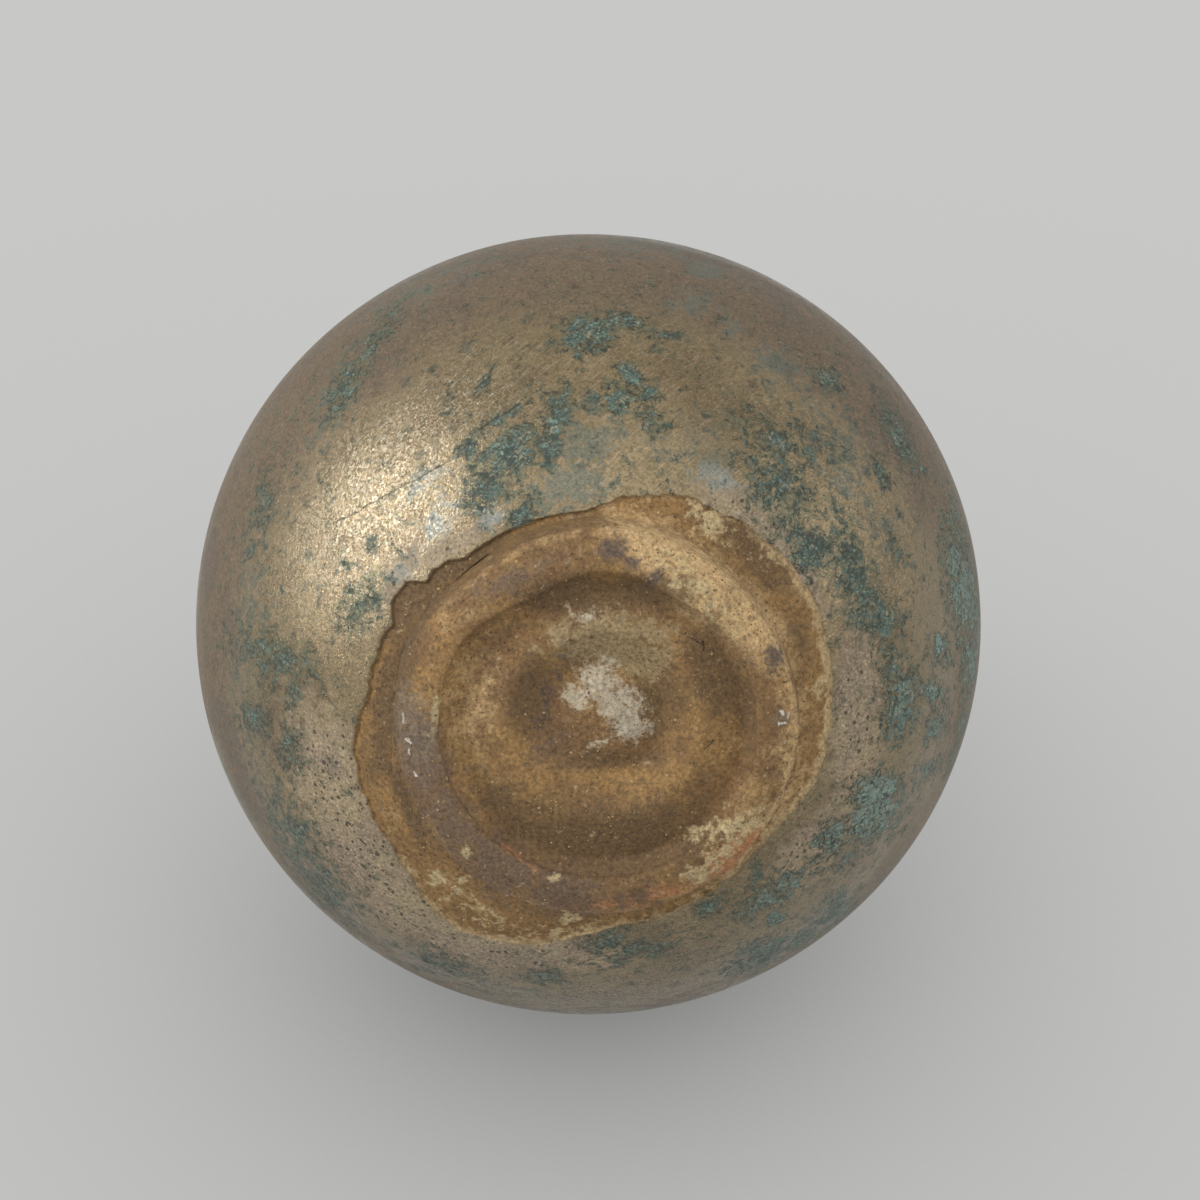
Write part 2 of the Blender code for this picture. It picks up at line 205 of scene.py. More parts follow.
def turnedTree():
    # An outline's points, spun round the Z axis, a little out of round and faintly ribbed by the fingers.
    tree = nodeTree("turnedOnWheel", {
        "Geometry": "Geometry", "Columns": "Int", "Waver": "Float", "Waver Length": "Float",
        "Rib": "Float", "Rib Height": "Float", "Material": "Material",
    })
    add = partial(addNode, tree)
    given = add("NodeGroupInput", output=None)
    rows = add("GeometryNodeAttributeDomainSize", {"Geometry": given["Geometry"]}, output="Point Count")
    grid, row, angle = gridRound(add, given["Columns"], rows)
    place = add("GeometryNodeInputPosition")
    point = add(
        "GeometryNodeSampleIndex", {"Geometry": given["Geometry"], "Value": place, "Index": row},
        output="Value", data_type="FLOAT_VECTOR", domain="POINT",
    )
    spun = add("ShaderNodeVectorRotate", {"Vector": point, "Angle": angle}, rotation_type="Z_AXIS")
    closed = add("GeometryNodeSetPosition", {"Geometry": grid, "Position": spun})
    kept = add(
        "GeometryNodeStoreNamedAttribute", {"Geometry": closed, "Name": "outline", "Value": point},
        data_type="FLOAT_VECTOR", domain="POINT",
    )
    merged = add("GeometryNodeMergeByDistance", {"Geometry": kept, "Distance": 1e-6})
    # the waver and the ribs only take clay away, so the form stays inside its solid
    waverScale = add("ShaderNodeMath", 1.0, given["Waver Length"], operation="DIVIDE")
    waver = add("ShaderNodeTexNoise", {"Vector": place, "Scale": waverScale, "Detail": 1.0})
    ribScale = add("ShaderNodeMath", 1.0, given["Rib Height"], operation="DIVIDE")
    height = add("ShaderNodeSeparateXYZ", place, output="Z")
    rib = add("ShaderNodeTexNoise", {"W": height, "Scale": ribScale, "Detail": 2.0}, noise_dimensions="1D")
    taken = add("ShaderNodeMath", waver, given["Waver"], operation="MULTIPLY")
    cut = add("ShaderNodeMath", rib, given["Rib"], taken, operation="MULTIPLY_ADD")
    level = add("ShaderNodeVectorMath", place, (1.0, 1.0, 0.0), operation="MULTIPLY")
    outward = add("ShaderNodeVectorMath", level, operation="NORMALIZE")
    inward = add("ShaderNodeMath", cut, -1.0, operation="MULTIPLY")
    shift = add("ShaderNodeVectorMath", {0: outward, 3: inward}, operation="SCALE")
    worn = add("GeometryNodeSetPosition", {"Geometry": merged, "Offset": shift})
    coatForm(add, worn, given["Material"])
    return tree


def madeByNodes(name, source, tree, sizes, material):
    # runs a tree on a starting mesh or curve and keeps the result as a plain mesh;
    # an input such as Rib Height takes the size ribHeight
    maker = newObject(name + "_maker", source)
    modifier = maker.modifiers.new(tree.name, "NODES")
    modifier.node_group = tree
    values = {**sizes, "material": material}
    for item in tree.interface.items_tree:
        size = item.name[0].lower() + item.name[1:].replace(" ", "")
        if item.in_out == "INPUT" and size in values:
            modifier[item.identifier] = values[size]
    maker.update_tag()
    bpy.context.view_layer.update()
    ready = maker.evaluated_get(bpy.context.evaluated_depsgraph_get())
    mesh = bpy.data.meshes.new_from_object(ready)
    mesh.name = name
    maker.modifiers.remove(modifier)
    bpy.data.objects.remove(maker)
    return newObject(name, mesh)


def turned(name, outline, sizes, material):
    profile = bpy.data.meshes.new(name + "_profile")
    profile.from_pydata([(radius, 0.0, height) for radius, height in outline], [], [])
    piece = madeByNodes(name, profile, wheelTree, sizes, material)
    facesOutward(piece)
    return piece


def facesOutward(piece):
    form = bmesh.new()
    form.from_mesh(piece.data)
    bmesh.ops.dissolve_degenerate(form, edges=form.edges, dist=1e-8)
    bmesh.ops.recalc_face_normals(form, faces=form.faces)
    form.to_mesh(piece.data)
    form.free()
    piece.data.shade_smooth()
    piece.data.set_sharp_from_angle(angle=math.radians(50))


def vectors(items, name):
    values = np.zeros(len(items) * 3, np.float32)
    items.foreach_get(name, values)
    return values.reshape(-1, 3).astype(float)


def places(piece):
    return vectors(piece.data.vertices, "co")


def facings(piece):
    return vectors(piece.data.vertex_normals, "vector")


def movePlaces(piece, points):
    piece.data.vertices.foreach_set("co", points.astype(np.float32).ravel())
    piece.data.update()


def outlinePlaces(piece):
    # radius and height that each point had on the outline it was turned from
    spots = vectors(piece.data.attributes["outline"].data, "vector")
    return spots[:, 0], spots[:, 2]


def keepField(piece, name, field):
    attribute = piece.data.attributes.get(name) or piece.data.attributes.new(name, "FLOAT", "POINT")
    attribute.data.foreach_set("value", np.asarray(field, np.float32))


def roughness(points, size, octaves=3):
    # fractal noise between about -1 and 1, with its largest lumps of this size
    return np.array([noise.fractal(Vector(p), 1.0, 2.0, octaves) for p in points / size])


def towardCamera(piece):
    # how squarely each point faces the photograph's camera: 1 full on, 0 edge on
    sight = np.array(photo["spot"]) - places(piece)
    return np.sum(facings(piece) * sight, axis=1) / np.linalg.norm(sight, axis=1)


def patched(piece, name, patches):
    # a field that is one half on the outline of each patch; a patch is in photo pixels:
    # across, down, half length, half width, turn in degrees, and strength if it is not full
    across, down = toPhoto(places(piece))
    field = np.zeros(len(across))
    for x, y, length, width, turn, *strength in patches:
        c, s = math.cos(math.radians(turn)), math.sin(math.radians(turn))
        along = (across - x) * c - (down - y) * s
        beside = (across - x) * s + (down - y) * c
        reach = np.sqrt((along / length) ** 2 + (beside / width) ** 2)
        field = np.maximum(field, np.clip(1 - reach / 2, 0, 1) * (strength[0] if strength else 1))
    keepField(piece, name, field * np.clip(towardCamera(piece) / photo["grazing"], 0, 1))


def finishPiece(piece, slot, *nodes):
    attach(piece, "root")
    if nodes:
        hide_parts(*nodes)
    triangles = sum(len(face.vertices) - 2 for face in piece.data.polygons)
    print("made", piece.name, triangles, "triangles")


addCamera()
wheelTree = turnedTree()
print("camera and wheel ready")

# Buff earthenware, thrown and then trimmed at the foot: matt, gritty, tan, stained by soil and lime.
clay = {
    "buff": "#967547", "umber": "#785b3a", "worn": "#c2a375", "dark": "#5c472e", "smoke": "#6a5747",
    "cream": "#b8a57c", "orange": "#a8734a", "residue": "#b1a691", "damp": "#896a40", "lime": "#b39b73",
    "olive": "#94815e", "blot": "#584c45", "dirt": "#644f35", "glassy": "#6f6253", "crack": "#2e2417",
    "glint": "#dcd6cb", "cove": "#664f30", "rub": "#b5976a",
    "toneSize": 11.0, "mottleSize": 2.6, "grainSize": 0.6, "stainSize": 1.7, "speckSpacing": 1.3,  # mm
    "speckSize": 0.16,  # of the spacing, at most
    "grainDepth": 0.10, "mottleDepth": 0.14,  # mm
    "roughness": 0.84,
}


def raggedMask(add, name, lumps, reach, soft):
    # a painted field with its outline broken up by a noise
    field = add("ShaderNodeAttribute", output="Fac", attribute_name=name)
    shift = add("ShaderNodeMath", lumps, 0.5, operation="SUBTRACT")
    broken = add("ShaderNodeMath", shift, reach, field, operation="MULTIPLY_ADD")
    return add("ShaderNodeMapRange", broken, 0.5 - soft, 0.5 + soft, interpolation_type="SMOOTHSTEP")


def onBowl(across, down):
    # the point of the lower bowl that a pixel shows
    spot = fromPhoto(across, down, globe["foot"])
    for _ in range(8):
        spot = fromPhoto(across, down, float(lowerHeight(math.hypot(spot.x, spot.y))))
    return spot


def onBase(across, down):
    # the base and the face of the ring lie about this high
    return fromPhoto(across, down, 1.6 * mm)


def hairline(add, inMm, wander, start, end, width):
    # a thin line between two points of the piece, in the plane that the photograph sees edge on
    run = (end - start) / mm
    across = (start - photo["spot"]).cross(end - photo["spot"]).normalized()
    fromStart = add("ShaderNodeVectorMath", inMm, start / mm, operation="SUBTRACT")
    beside = add("ShaderNodeVectorMath", fromStart, across, output="Value", operation="DOT_PRODUCT")
    bent = add("ShaderNodeMath", wander, beside, operation="ADD")
    off = add("ShaderNodeMath", bent, operation="ABSOLUTE")
    near = add("ShaderNodeMapRange", off, 0.4 * width, width, 1.0, 0.0)
    along = add(
        "ShaderNodeVectorMath", fromStart, run / run.length_squared, output="Value",
        operation="DOT_PRODUCT",
    )
    middle = add("ShaderNodeMath", along, 0.5, operation="SUBTRACT")
    outside = add("ShaderNodeMath", middle, operation="ABSOLUTE")
    within = add("ShaderNodeMapRange", outside, 0.4, 0.5, 1.0, 0.0)
    return add("ShaderNodeMath", near, within, operation="MULTIPLY")


# cracks in the base, in photo pixels: from, to, half width in mm, strength
clayCracks = (
    ((664, 622), (688, 634), 0.10, 0.5), ((688, 634), (703, 648), 0.16, 0.9),
    ((702, 641), (704, 652), 0.22, 0.9), ((704, 750), (715, 739), 0.20, 0.9),
    ((602, 822), (591, 858), 0.10, 0.5),
)
# painted highlights: glints where spilt glaze on the ring catches the light, painted as light specks and
# given the same way
paintedGlints = (
    ((402, 713), (405, 724), 0.22, 0.9), ((404, 740), (411, 744), 0.22, 0.9),
    ((409, 748), (408, 755), 0.16, 0.6), ((414, 771), (416, 777), 0.20, 0.7),
    ((780, 708), (784, 715), 0.20, 0.8), ((777, 723), (787, 721), 0.18, 0.8),
    ((787, 713), (790, 718), 0.16, 0.6), ((562, 914), (581, 918), 0.16, 0.7),
    ((600, 917), (609, 914), 0.14, 0.6),
)


def paintLines(add, colour, inMm, wander, lines, onto, tone, within=1.0):
    for start, end, width, strength in lines:
        line = hairline(add, inMm, wander, onto(*start), onto(*end), width)
        for factor in (strength, within):
            line = add("ShaderNodeMath", line, factor, operation="MULTIPLY")
        colour = add("ShaderNodeMix", {0: line, 6: colour, 7: linear(tone)}, output=2, data_type="RGBA")
    return colour


def clayLook(add, inMm):
    maps = {}
    for name, detail, rough, distorted in (
        ("tone", 4.0, 0.55, 0.0), ("mottle", 6.0, 0.68, 0.0),
        ("grain", 3.0, 0.75, 0.0), ("stain", 7.0, 0.68, 0.3),
    ):
        maps[name] = add("ShaderNodeTexNoise", {
            "Vector": inMm, "Scale": 1 / clay[name + "Size"],
            "Detail": detail, "Roughness": rough, "Distortion": distorted,
        })
    mottle, grain, lumps = maps["mottle"], maps["grain"], maps["stain"]
    share = add("ShaderNodeMapRange", maps["tone"], 0.36, 0.62, interpolation_type="SMOOTHSTEP")
    colour = add(
        "ShaderNodeMix", {0: share, 6: linear(clay["umber"]), 7: linear(clay["buff"])}, output=2,
        data_type="RGBA",
    )
    share = add("ShaderNodeMapRange", mottle, 0.46, 0.3, 0.0, 0.55)
    colour = add("ShaderNodeMix", {0: share, 6: colour, 7: linear(clay["dark"])}, output=2, data_type="RGBA")
    # tone and painted field, the noise that breaks its outline, by how much, how softly, and how much of it
    for name, noiseMap, reach, soft, most in (
        # the crease tone is painted shade with some dirt in it
        ("damp", mottle, 1.0, 0.5, 0.75), ("cove", mottle, 0.8, 0.5, 0.6), ("rub", mottle, 2.6, 0.45, 0.55),
        # the dirt tone also carries painted shade inside the base, and the worn tone a painted lit left flank
        # there
        ("worn", mottle, 1.5, 0.34, 0.9), ("dirt", mottle, 1.5, 0.24, 0.85),
        ("smoke", mottle, 1.4, 0.28, 0.85), ("olive", lumps, 1.8, 0.14, 0.9),
        ("orange", lumps, 2.0, 0.26, 0.85), ("cream", lumps, 2.8, 0.2, 0.85), ("lime", lumps, 2.2, 0.3, 0.85),
        ("residue", lumps, 2.7, 0.10, 0.68), ("residue", grain, 1.4, 0.24, 0.5),
        # some blots are painted shade inside the base
        ("blot", lumps, 2.0, 0.24, 0.85), ("glassy", lumps, 1.8, 0.3, 0.7),
    ):
        mask = raggedMask(add, name, noiseMap, reach, soft)
        if name == "glassy":
            gloss = mask
        mask = add("ShaderNodeMath", mask, most, operation="MULTIPLY")
        colour = add("ShaderNodeMix", {0: mask, 6: colour, 7: linear(clay[name])}, output=2, data_type="RGBA")
    # soil in the small hollows, over everything
    soil = add("ShaderNodeMapRange", lumps, 0.46, 0.34, 0.0, 0.45)
    colour = add("ShaderNodeMix", {0: soil, 6: colour, 7: linear(clay["dark"])}, output=2, data_type="RGBA")
    # grains of sand and soil, some light and some dark
    cells = add(
        "ShaderNodeTexVoronoi", {"Vector": inMm, "Scale": 1 / clay["speckSpacing"], "Randomness": 1.0},
        output=None,
    )
    chance = add("ShaderNodeSeparateColor", cells["Color"], output=None)
    small = add("ShaderNodeMath", chance[0], clay["speckSize"], operation="MULTIPLY")
    speck = add("ShaderNodeMath", cells["Distance"], small, operation="LESS_THAN")
    light = add("ShaderNodeMath", chance[1], 0.6, operation="GREATER_THAN")
    speckTone = add(
        "ShaderNodeMix", {0: light, 6: linear(clay["crack"]), 7: linear(clay["cream"])}, output=2,
        data_type="RGBA",
    )
    speck = add("ShaderNodeMath", speck, 0.7, operation="MULTIPLY")
    colour = add("ShaderNodeMix", {0: speck, 6: colour, 7: speckTone}, output=2, data_type="RGBA")
    shade = add("ShaderNodeMapRange", grain, 0.3, 0.7, 0.5, 1.4)
    colour = add("ShaderNodeVectorMath", {0: colour, 3: shade}, operation="SCALE")
    wander = add("ShaderNodeMapRange", mottle, 0.0, 1.0, -1.2, 1.2)
    # the painted highlight glints keep to the ring's face, and don't run up its side
    height = add("ShaderNodeSeparateXYZ", inMm, output="Z")
    ringFace = add("ShaderNodeMapRange", height, 1.6, 2.4, 1.0, 0.0)
    colour = paintLines(add, colour, inMm, wander, clayCracks, onBase, clay["crack"])
    colour = paintLines(add, colour, inMm, wander, paintedGlints, onBase, clay["glint"], ringFace)
    matt = add("ShaderNodeMapRange", gloss, 0.0, 1.0, clay["roughness"], 0.1)
    coarse = add("ShaderNodeMath", mottle, clay["mottleDepth"], operation="MULTIPLY")
    height = add("ShaderNodeMath", grain, clay["grainDepth"], coarse, operation="MULTIPLY_ADD")
    return colour, matt, height


def newMaterial(name):
    material = bpy.data.materials.new(name)
    material.use_nodes = True
    return material, material.node_tree, partial(addNode, material.node_tree)


def clayMaterial():
    material, tree, add = newMaterial("buff_earthenware")
    place = add("ShaderNodeTexCoord", output="Object")
    inMm = add("ShaderNodeVectorMath", {0: place, 3: 1 / mm}, operation="SCALE")
    colour, matt, height = clayLook(add, inMm)
    relief = add("ShaderNodeBump", {"Height": height, "Distance": mm, "Strength": 1.0})
    looks = {"Base Color": colour, "Roughness": matt, "Normal": relief}
    feedNode(tree, tree.nodes["Principled BSDF"], looks)
    return material


# Turquoise lead glaze, buried for centuries: its skin has turned to a thin bronze crust that shines like
# rubbed metal, is scratched all over, and has flaked off in patches down to the grey blue below. From the
# belly up the crust is browner and matt.
glaze = {
    "bronze": "#917e5c", "brown": "#7c694b", "olive": "#716746", "umber": "#4b3f2b", "tan": "#a08c67",
    "gleam": "#d8ccb3", "russet": "#705e4b", "plum": "#61544a", "clear": "#877657", "sage": "#887a5f",
    "verdigris": "#626c62", "moss": "#5d614a", "teal": "#40574f", "deepTeal": "#243830",
    "paleTeal": "#86a097", "net": "#33362a", "lilac": "#8f9a98",
    "band": "#988769", "pinkBand": "#8c7b68", "chalk": "#b9aa8c", "pit": "#2d271e", "scratch": "#3a3322",
    "cloudSize": 14.0, "mottleSize": 2.3, "fleckSize": 0.5, "flakeSize": 2.1,  # mm
    "patchSize": 24.0, "veinSize": 1.5, "pitSpacing": 1.15, "bellyHeight": 31.0,  # mm
    "strokeLength": 3.6, "strokeWidth": 0.26,  # mm, wider than the real hair scratches so that they show
    "strokeDepth": 0.060, "fleckDepth": 0.045, "crustDepth": 0.05,  # mm
    "metallic": 0.70, "mattMetallic": 0.25,
    "shiny": 0.14, "satin": 0.42, "mattCrust": 0.52, "dulled": 0.58,  # roughness
    "film": 0.5, "filmRoughness": 0.22,
}
# scratches, given like the cracks of the clay
glazeScratches = (
    ((323, 530), (457, 457), 0.14, 0.95), ((316, 584), (342, 520), 0.09, 0.5),
    ((330, 545), (338, 568), 0.08, 0.5), ((437, 372), (470, 352), 0.08, 0.4),
    ((476, 431), (524, 401), 0.20, 0.9), ((468, 436), (480, 428), 0.12, 0.7),
    ((476, 388), (490, 377), 0.18, 0.9), ((489, 379), (493, 364), 0.16, 0.8),
    ((530, 486), (536, 440), 0.12, 0.6),
)


def glazeMaps(add, inMm):
    # the noises, painted fields and zones that the glaze is mixed by
    maps = {}
    for name, detail, rough, distorted in (
        ("cloud", 5.0, 0.6, 0.0), ("mottle", 6.0, 0.7, 0.3), ("fleck", 3.0, 0.75, 0.0),
        ("flake", 8.0, 0.68, 0.6), ("patch", 2.0, 0.5, 0.0), ("vein", 3.0, 0.6, 0.8),
    ):
        maps[name] = add("ShaderNodeTexNoise", {
            "Vector": inMm, "Scale": 1 / glaze[name + "Size"],
            "Detail": detail, "Roughness": rough, "Distortion": distorted,
        })
    # rubbing scratches: noise drawn out along three directions
    across = 1 / glaze["strokeWidth"]
    for name, turn in (
        ("strokeA", (0.4, 0.3, 0.7)), ("strokeB", (-0.5, 0.2, -0.6)), ("strokeC", (0.2, 1.1, 1.6)),
    ):
        turnedPlace = add("ShaderNodeMapping", {"Vector": inMm, "Rotation": turn})
        drawn = add(
            "ShaderNodeMapping",
            {"Vector": turnedPlace, "Scale": (1 / glaze["strokeLength"], across, across)},
        )
        maps[name] = add("ShaderNodeTexNoise", {"Vector": drawn, "Scale": 1.0, "Detail": 3.0})
    for name in ("teal", "pale", "seen", "bare", "rubbed"):
        maps[name] = add("ShaderNodeAttribute", output="Fac", attribute_name=name)
    for name, noiseMap, reach, soft in (
        ("dull", "flake", 3.4, 0.24), ("band", "mottle", 1.3, 0.3),
        ("lilac", "flake", 2.4, 0.4), ("sage", "flake", 2.2, 0.45),
    ):
        maps[name] = raggedMask(add, name, maps[noiseMap], reach, soft)

    # the belly line wavers, and below it lies the shiny crust
    height = add("ShaderNodeSeparateXYZ", inMm, output="Z")
    swings = {"cloud": 16.0, "flake": 14.0, "strokeA": 14.0}  # mm
    rise = add("ShaderNodeMath", height, sum(swings.values()) / 2, operation="SUBTRACT")
    for name, swing in swings.items():
        rise = add("ShaderNodeMath", maps[name], swing, rise, operation="MULTIPLY_ADD")
    maps["rise"] = rise
    hidden = add("ShaderNodeMath", 1.0, maps["seen"], operation="SUBTRACT")
    worn = add("ShaderNodeMapRange", maps["patch"], 0.44, 0.56, 0.2, 0.85)
    worn = add("ShaderNodeMath", worn, hidden, operation="MULTIPLY")
    belly = glaze["bellyHeight"]
    over = add(
        "ShaderNodeMapRange", maps["rise"], belly - 7.0, belly + 8.0, interpolation_type="SMOOTHSTEP",
    )
    maps["matt"] = add("ShaderNodeMath", over, worn, operation="SUBTRACT", use_clamp=True)
    maps["shine"] = add("ShaderNodeMath", 1.0, maps["matt"], operation="SUBTRACT")
    # the crust is rubbed brighter, and where the key lamp's gleam falls on the lower bowl a painted highlight
    # is laid in as well
    rubbed = add("ShaderNodeMath", hidden, 0.4, maps["rubbed"], operation="MULTIPLY_ADD", use_clamp=True)
    maps["polish"] = add("ShaderNodeMath", rubbed, maps["shine"], operation="MULTIPLY")

    # flaked patches: painted where the photograph shows them, scattered by noise where it can't see
    wild = add("ShaderNodeMapRange", maps["patch"], 0.5, 0.68, 0.0, 0.72)
    wild = add("ShaderNodeMath", wild, hidden, operation="MULTIPLY")
    flaked = add("ShaderNodeMath", maps["teal"], wild, operation="MAXIMUM")
    for name, reach in (("flake", 2.6), ("fleck", 0.45)):
        shift = add("ShaderNodeMath", maps[name], 0.5, operation="SUBTRACT")
        flaked = add("ShaderNodeMath", shift, reach, flaked, operation="MULTIPLY_ADD")
    for name, low, high in (("blue", 0.42, 0.66), ("stained", 0.02, 0.46), ("netted", 0.04, 0.32)):
        maps[name] = add("ShaderNodeMapRange", flaked, low, high, interpolation_type="SMOOTHSTEP")
    middle = add("ShaderNodeMath", maps["vein"], 0.5, operation="SUBTRACT")
    maps["offVein"] = add("ShaderNodeMath", middle, operation="ABSOLUTE")
    cells = add(
        "ShaderNodeTexVoronoi", {"Vector": inMm, "Scale": 1 / glaze["pitSpacing"], "Randomness": 1.0},
        output=None,
    )
    chance = add("ShaderNodeSeparateColor", cells["Color"])
    crowd = add("ShaderNodeMapRange", maps["band"], 0.0, 1.0, 0.06, 0.36)
    holeSize = add("ShaderNodeMath", chance, crowd, operation="MULTIPLY")
    maps["pit"] = add("ShaderNodeMath", cells["Distance"], holeSize, operation="LESS_THAN")
    return maps


def glazeColour(add, inMm, maps):
    belly = glaze["bellyHeight"]
    colour = linear(glaze["brown"])
    # tone, the map that places it, from, to, how much of it, and the map it keeps within
    for tone, source, low, high, most, within in (
        ("bronze", "cloud", 0.38, 0.60, 1.0, None),
        ("tan", "rise", belly - 9.0, belly - 3.0, 0.45, "shine"),
        ("olive", "mottle", 0.50, 0.66, 0.8, None), ("umber", "mottle", 0.47, 0.30, 0.75, None),
        ("clear", "flake", 0.46, 0.30, 0.6, "shine"), ("brown", "flake", 0.53, 0.64, 0.75, "shine"),
        ("umber", "fleck", 0.45, 0.32, 0.35, "shine"),
        ("gleam", "strokeA", 0.55, 0.64, 0.2, "shine"), ("umber", "strokeB", 0.45, 0.36, 0.3, "shine"),
        # the gleam strokes and flecks of the polish zone are painted highlight sparkle laid over rubbed crust
        ("umber", "fleck", 0.45, 0.32, 0.5, "polish"), ("gleam", "strokeA", 0.55, 0.63, 0.7, "polish"),
        ("umber", "strokeB", 0.45, 0.36, 0.75, "polish"), ("gleam", "strokeC", 0.56, 0.64, 0.65, "polish"),
        ("gleam", "fleck", 0.56, 0.70, 0.5, "polish"),
        ("russet", "matt", 0.0, 1.0, 0.85, None), ("gleam", "strokeB", 0.58, 0.70, 0.16, "matt"),
        ("umber", "strokeC", 0.45, 0.36, 0.6, "matt"), ("plum", "cloud", 0.48, 0.62, 0.6, "matt"),
        ("umber", "mottle", 0.46, 0.36, 0.4, "matt"), ("olive", "flake", 0.54, 0.64, 0.4, "matt"),
        ("umber", "fleck", 0.46, 0.32, 0.5, "matt"), ("tan", "fleck", 0.54, 0.68, 0.35, "matt"),
        ("umber", "offVein", 0.018, 0.006, 0.5, "matt"),
        ("verdigris", "dull", 0.0, 1.0, 0.6, None), ("sage", "sage", 0.0, 1.0, 0.75, None),
        ("pinkBand", "band", 0.0, 1.0, 0.85, None), ("band", "cloud", 0.42, 0.58, 0.85, "band"),
        ("umber", "mottle", 0.46, 0.30, 0.5, "band"),
        ("chalk", "fleck", 0.52, 0.66, 0.5, "band"), ("umber", "fleck", 0.46, 0.32, 0.6, "band"),
        ("lilac", "lilac", 0.0, 1.0, 0.65, None), ("brown", "strokeC", 0.48, 0.36, 0.6, "lilac"),
        ("moss", "stained", 0.0, 1.0, 0.6, None),
        ("teal", "blue", 0.0, 1.0, 0.9, None), ("paleTeal", "fleck", 0.46, 0.66, 0.55, "blue"),
        ("deepTeal", "mottle", 0.50, 0.58, 0.85, "blue"),
        ("paleTeal", "pale", 0.0, 1.0, 0.6, "blue"), ("tan", "strokeA", 0.55, 0.64, 0.6, "blue"),
        ("tan", "mottle", 0.42, 0.32, 0.6, "blue"),
        ("net", "offVein", 0.046, 0.016, 0.9, "netted"), ("pit", "pit", 0.0, 1.0, 0.8, None),
    ):
        amount = add(
            "ShaderNodeMapRange", maps[source], low, high, 0.0, most, interpolation_type="SMOOTHSTEP",
        )
        if within:
            amount = add("ShaderNodeMath", amount, maps[within], operation="MULTIPLY")
        colour = add(
            "ShaderNodeMix", {0: amount, 6: colour, 7: linear(glaze[tone])}, output=2, data_type="RGBA",
        )
    wander = add("ShaderNodeMapRange", maps["mottle"], 0.0, 1.0, -0.8, 0.8)
    colour = paintLines(add, colour, inMm, wander, glazeScratches, onBowl, glaze["scratch"])
    swing = add("ShaderNodeMapRange", maps["shine"], 0.0, 1.0, 0.7, 1.15)
    shift = add("ShaderNodeMath", maps["fleck"], 0.5, operation="SUBTRACT")
    tint = add("ShaderNodeMath", shift, swing, 1.0, operation="MULTIPLY_ADD")
    return add("ShaderNodeVectorMath", {0: colour, 3: tint}, operation="SCALE")


def glazeRelief(add, maps):
    # in mm, deepest where the crust shines
    relief = add("ShaderNodeMath", maps["fleck"], glaze["fleckDepth"], operation="MULTIPLY")
    for name in ("strokeA", "strokeB", "strokeC"):
        relief = add("ShaderNodeMath", maps[name], glaze["strokeDepth"], relief, operation="MULTIPLY_ADD")
    rubbed = add("ShaderNodeMapRange", maps["shine"], 0.0, 1.0, 0.3, 1.0)
    relief = add("ShaderNodeMath", relief, rubbed, operation="MULTIPLY")
    for name, depth in (("blue", glaze["crustDepth"]), ("pit", 2 * glaze["crustDepth"])):
        relief = add("ShaderNodeMath", maps[name], -depth, relief, operation="MULTIPLY_ADD")
    return relief


def glazeMaterial():
    material, tree, add = newMaterial("weathered_lustre_glaze")
    place = add("ShaderNodeTexCoord", output="Object")
    inMm = add("ShaderNodeVectorMath", {0: place, 3: 1 / mm}, operation="SCALE")
    maps = glazeMaps(add, inMm)
    # where the glaze stops, the clay shows
    clayColour, clayMatt, clayHeight = clayLook(add, inMm)
    colour = glazeColour(add, inMm, maps)
    colour = add("ShaderNodeMix", {0: maps["bare"], 6: colour, 7: clayColour}, output=2, data_type="RGBA")
    relief = add("ShaderNodeMix", {0: maps["bare"], 2: glazeRelief(add, maps), 3: clayHeight})
    dulled = add("ShaderNodeMath", maps["blue"], maps["band"], operation="MAXIMUM")
    sheen = add("ShaderNodeMapRange", maps["fleck"], 0.36, 0.62, glaze["satin"], glaze["shiny"])
    uneven = add("ShaderNodeMath", maps["flake"], 0.5, operation="SUBTRACT")
    sheen = add("ShaderNodeMath", uneven, 0.5, sheen, operation="MULTIPLY_ADD")
    for share, rough in (
        (maps["matt"], glaze["mattCrust"]), (dulled, glaze["dulled"]), (maps["bare"], clayMatt),
    ):
        sheen = add("ShaderNodeMix", {0: share, 2: sheen, 3: rough})
    metal = add("ShaderNodeMapRange", maps["matt"], 0.0, 1.0, glaze["metallic"], glaze["mattMetallic"])
    covered = add("ShaderNodeMath", dulled, maps["bare"], operation="MAXIMUM")
    metal = add("ShaderNodeMix", {0: covered, 2: metal, 3: 0.0})
    film = add("ShaderNodeMix", {0: covered, 2: maps["shine"], 3: 0.0})
    film = add("ShaderNodeMath", film, glaze["film"], operation="MULTIPLY")
    normal = add("ShaderNodeBump", {"Height": relief, "Distance": mm, "Strength": 1.0})
    feedNode(tree, tree.nodes["Principled BSDF"], {
        "Base Color": colour, "Roughness": sheen, "Metallic": metal, "Normal": normal,
        "Coat Weight": film, "Coat Roughness": glaze["filmRoughness"], "Coat Normal": normal,
    })
    return material


clayCoat = clayMaterial()
glazeCoat = glazeMaterial()
print("clay and glaze ready")

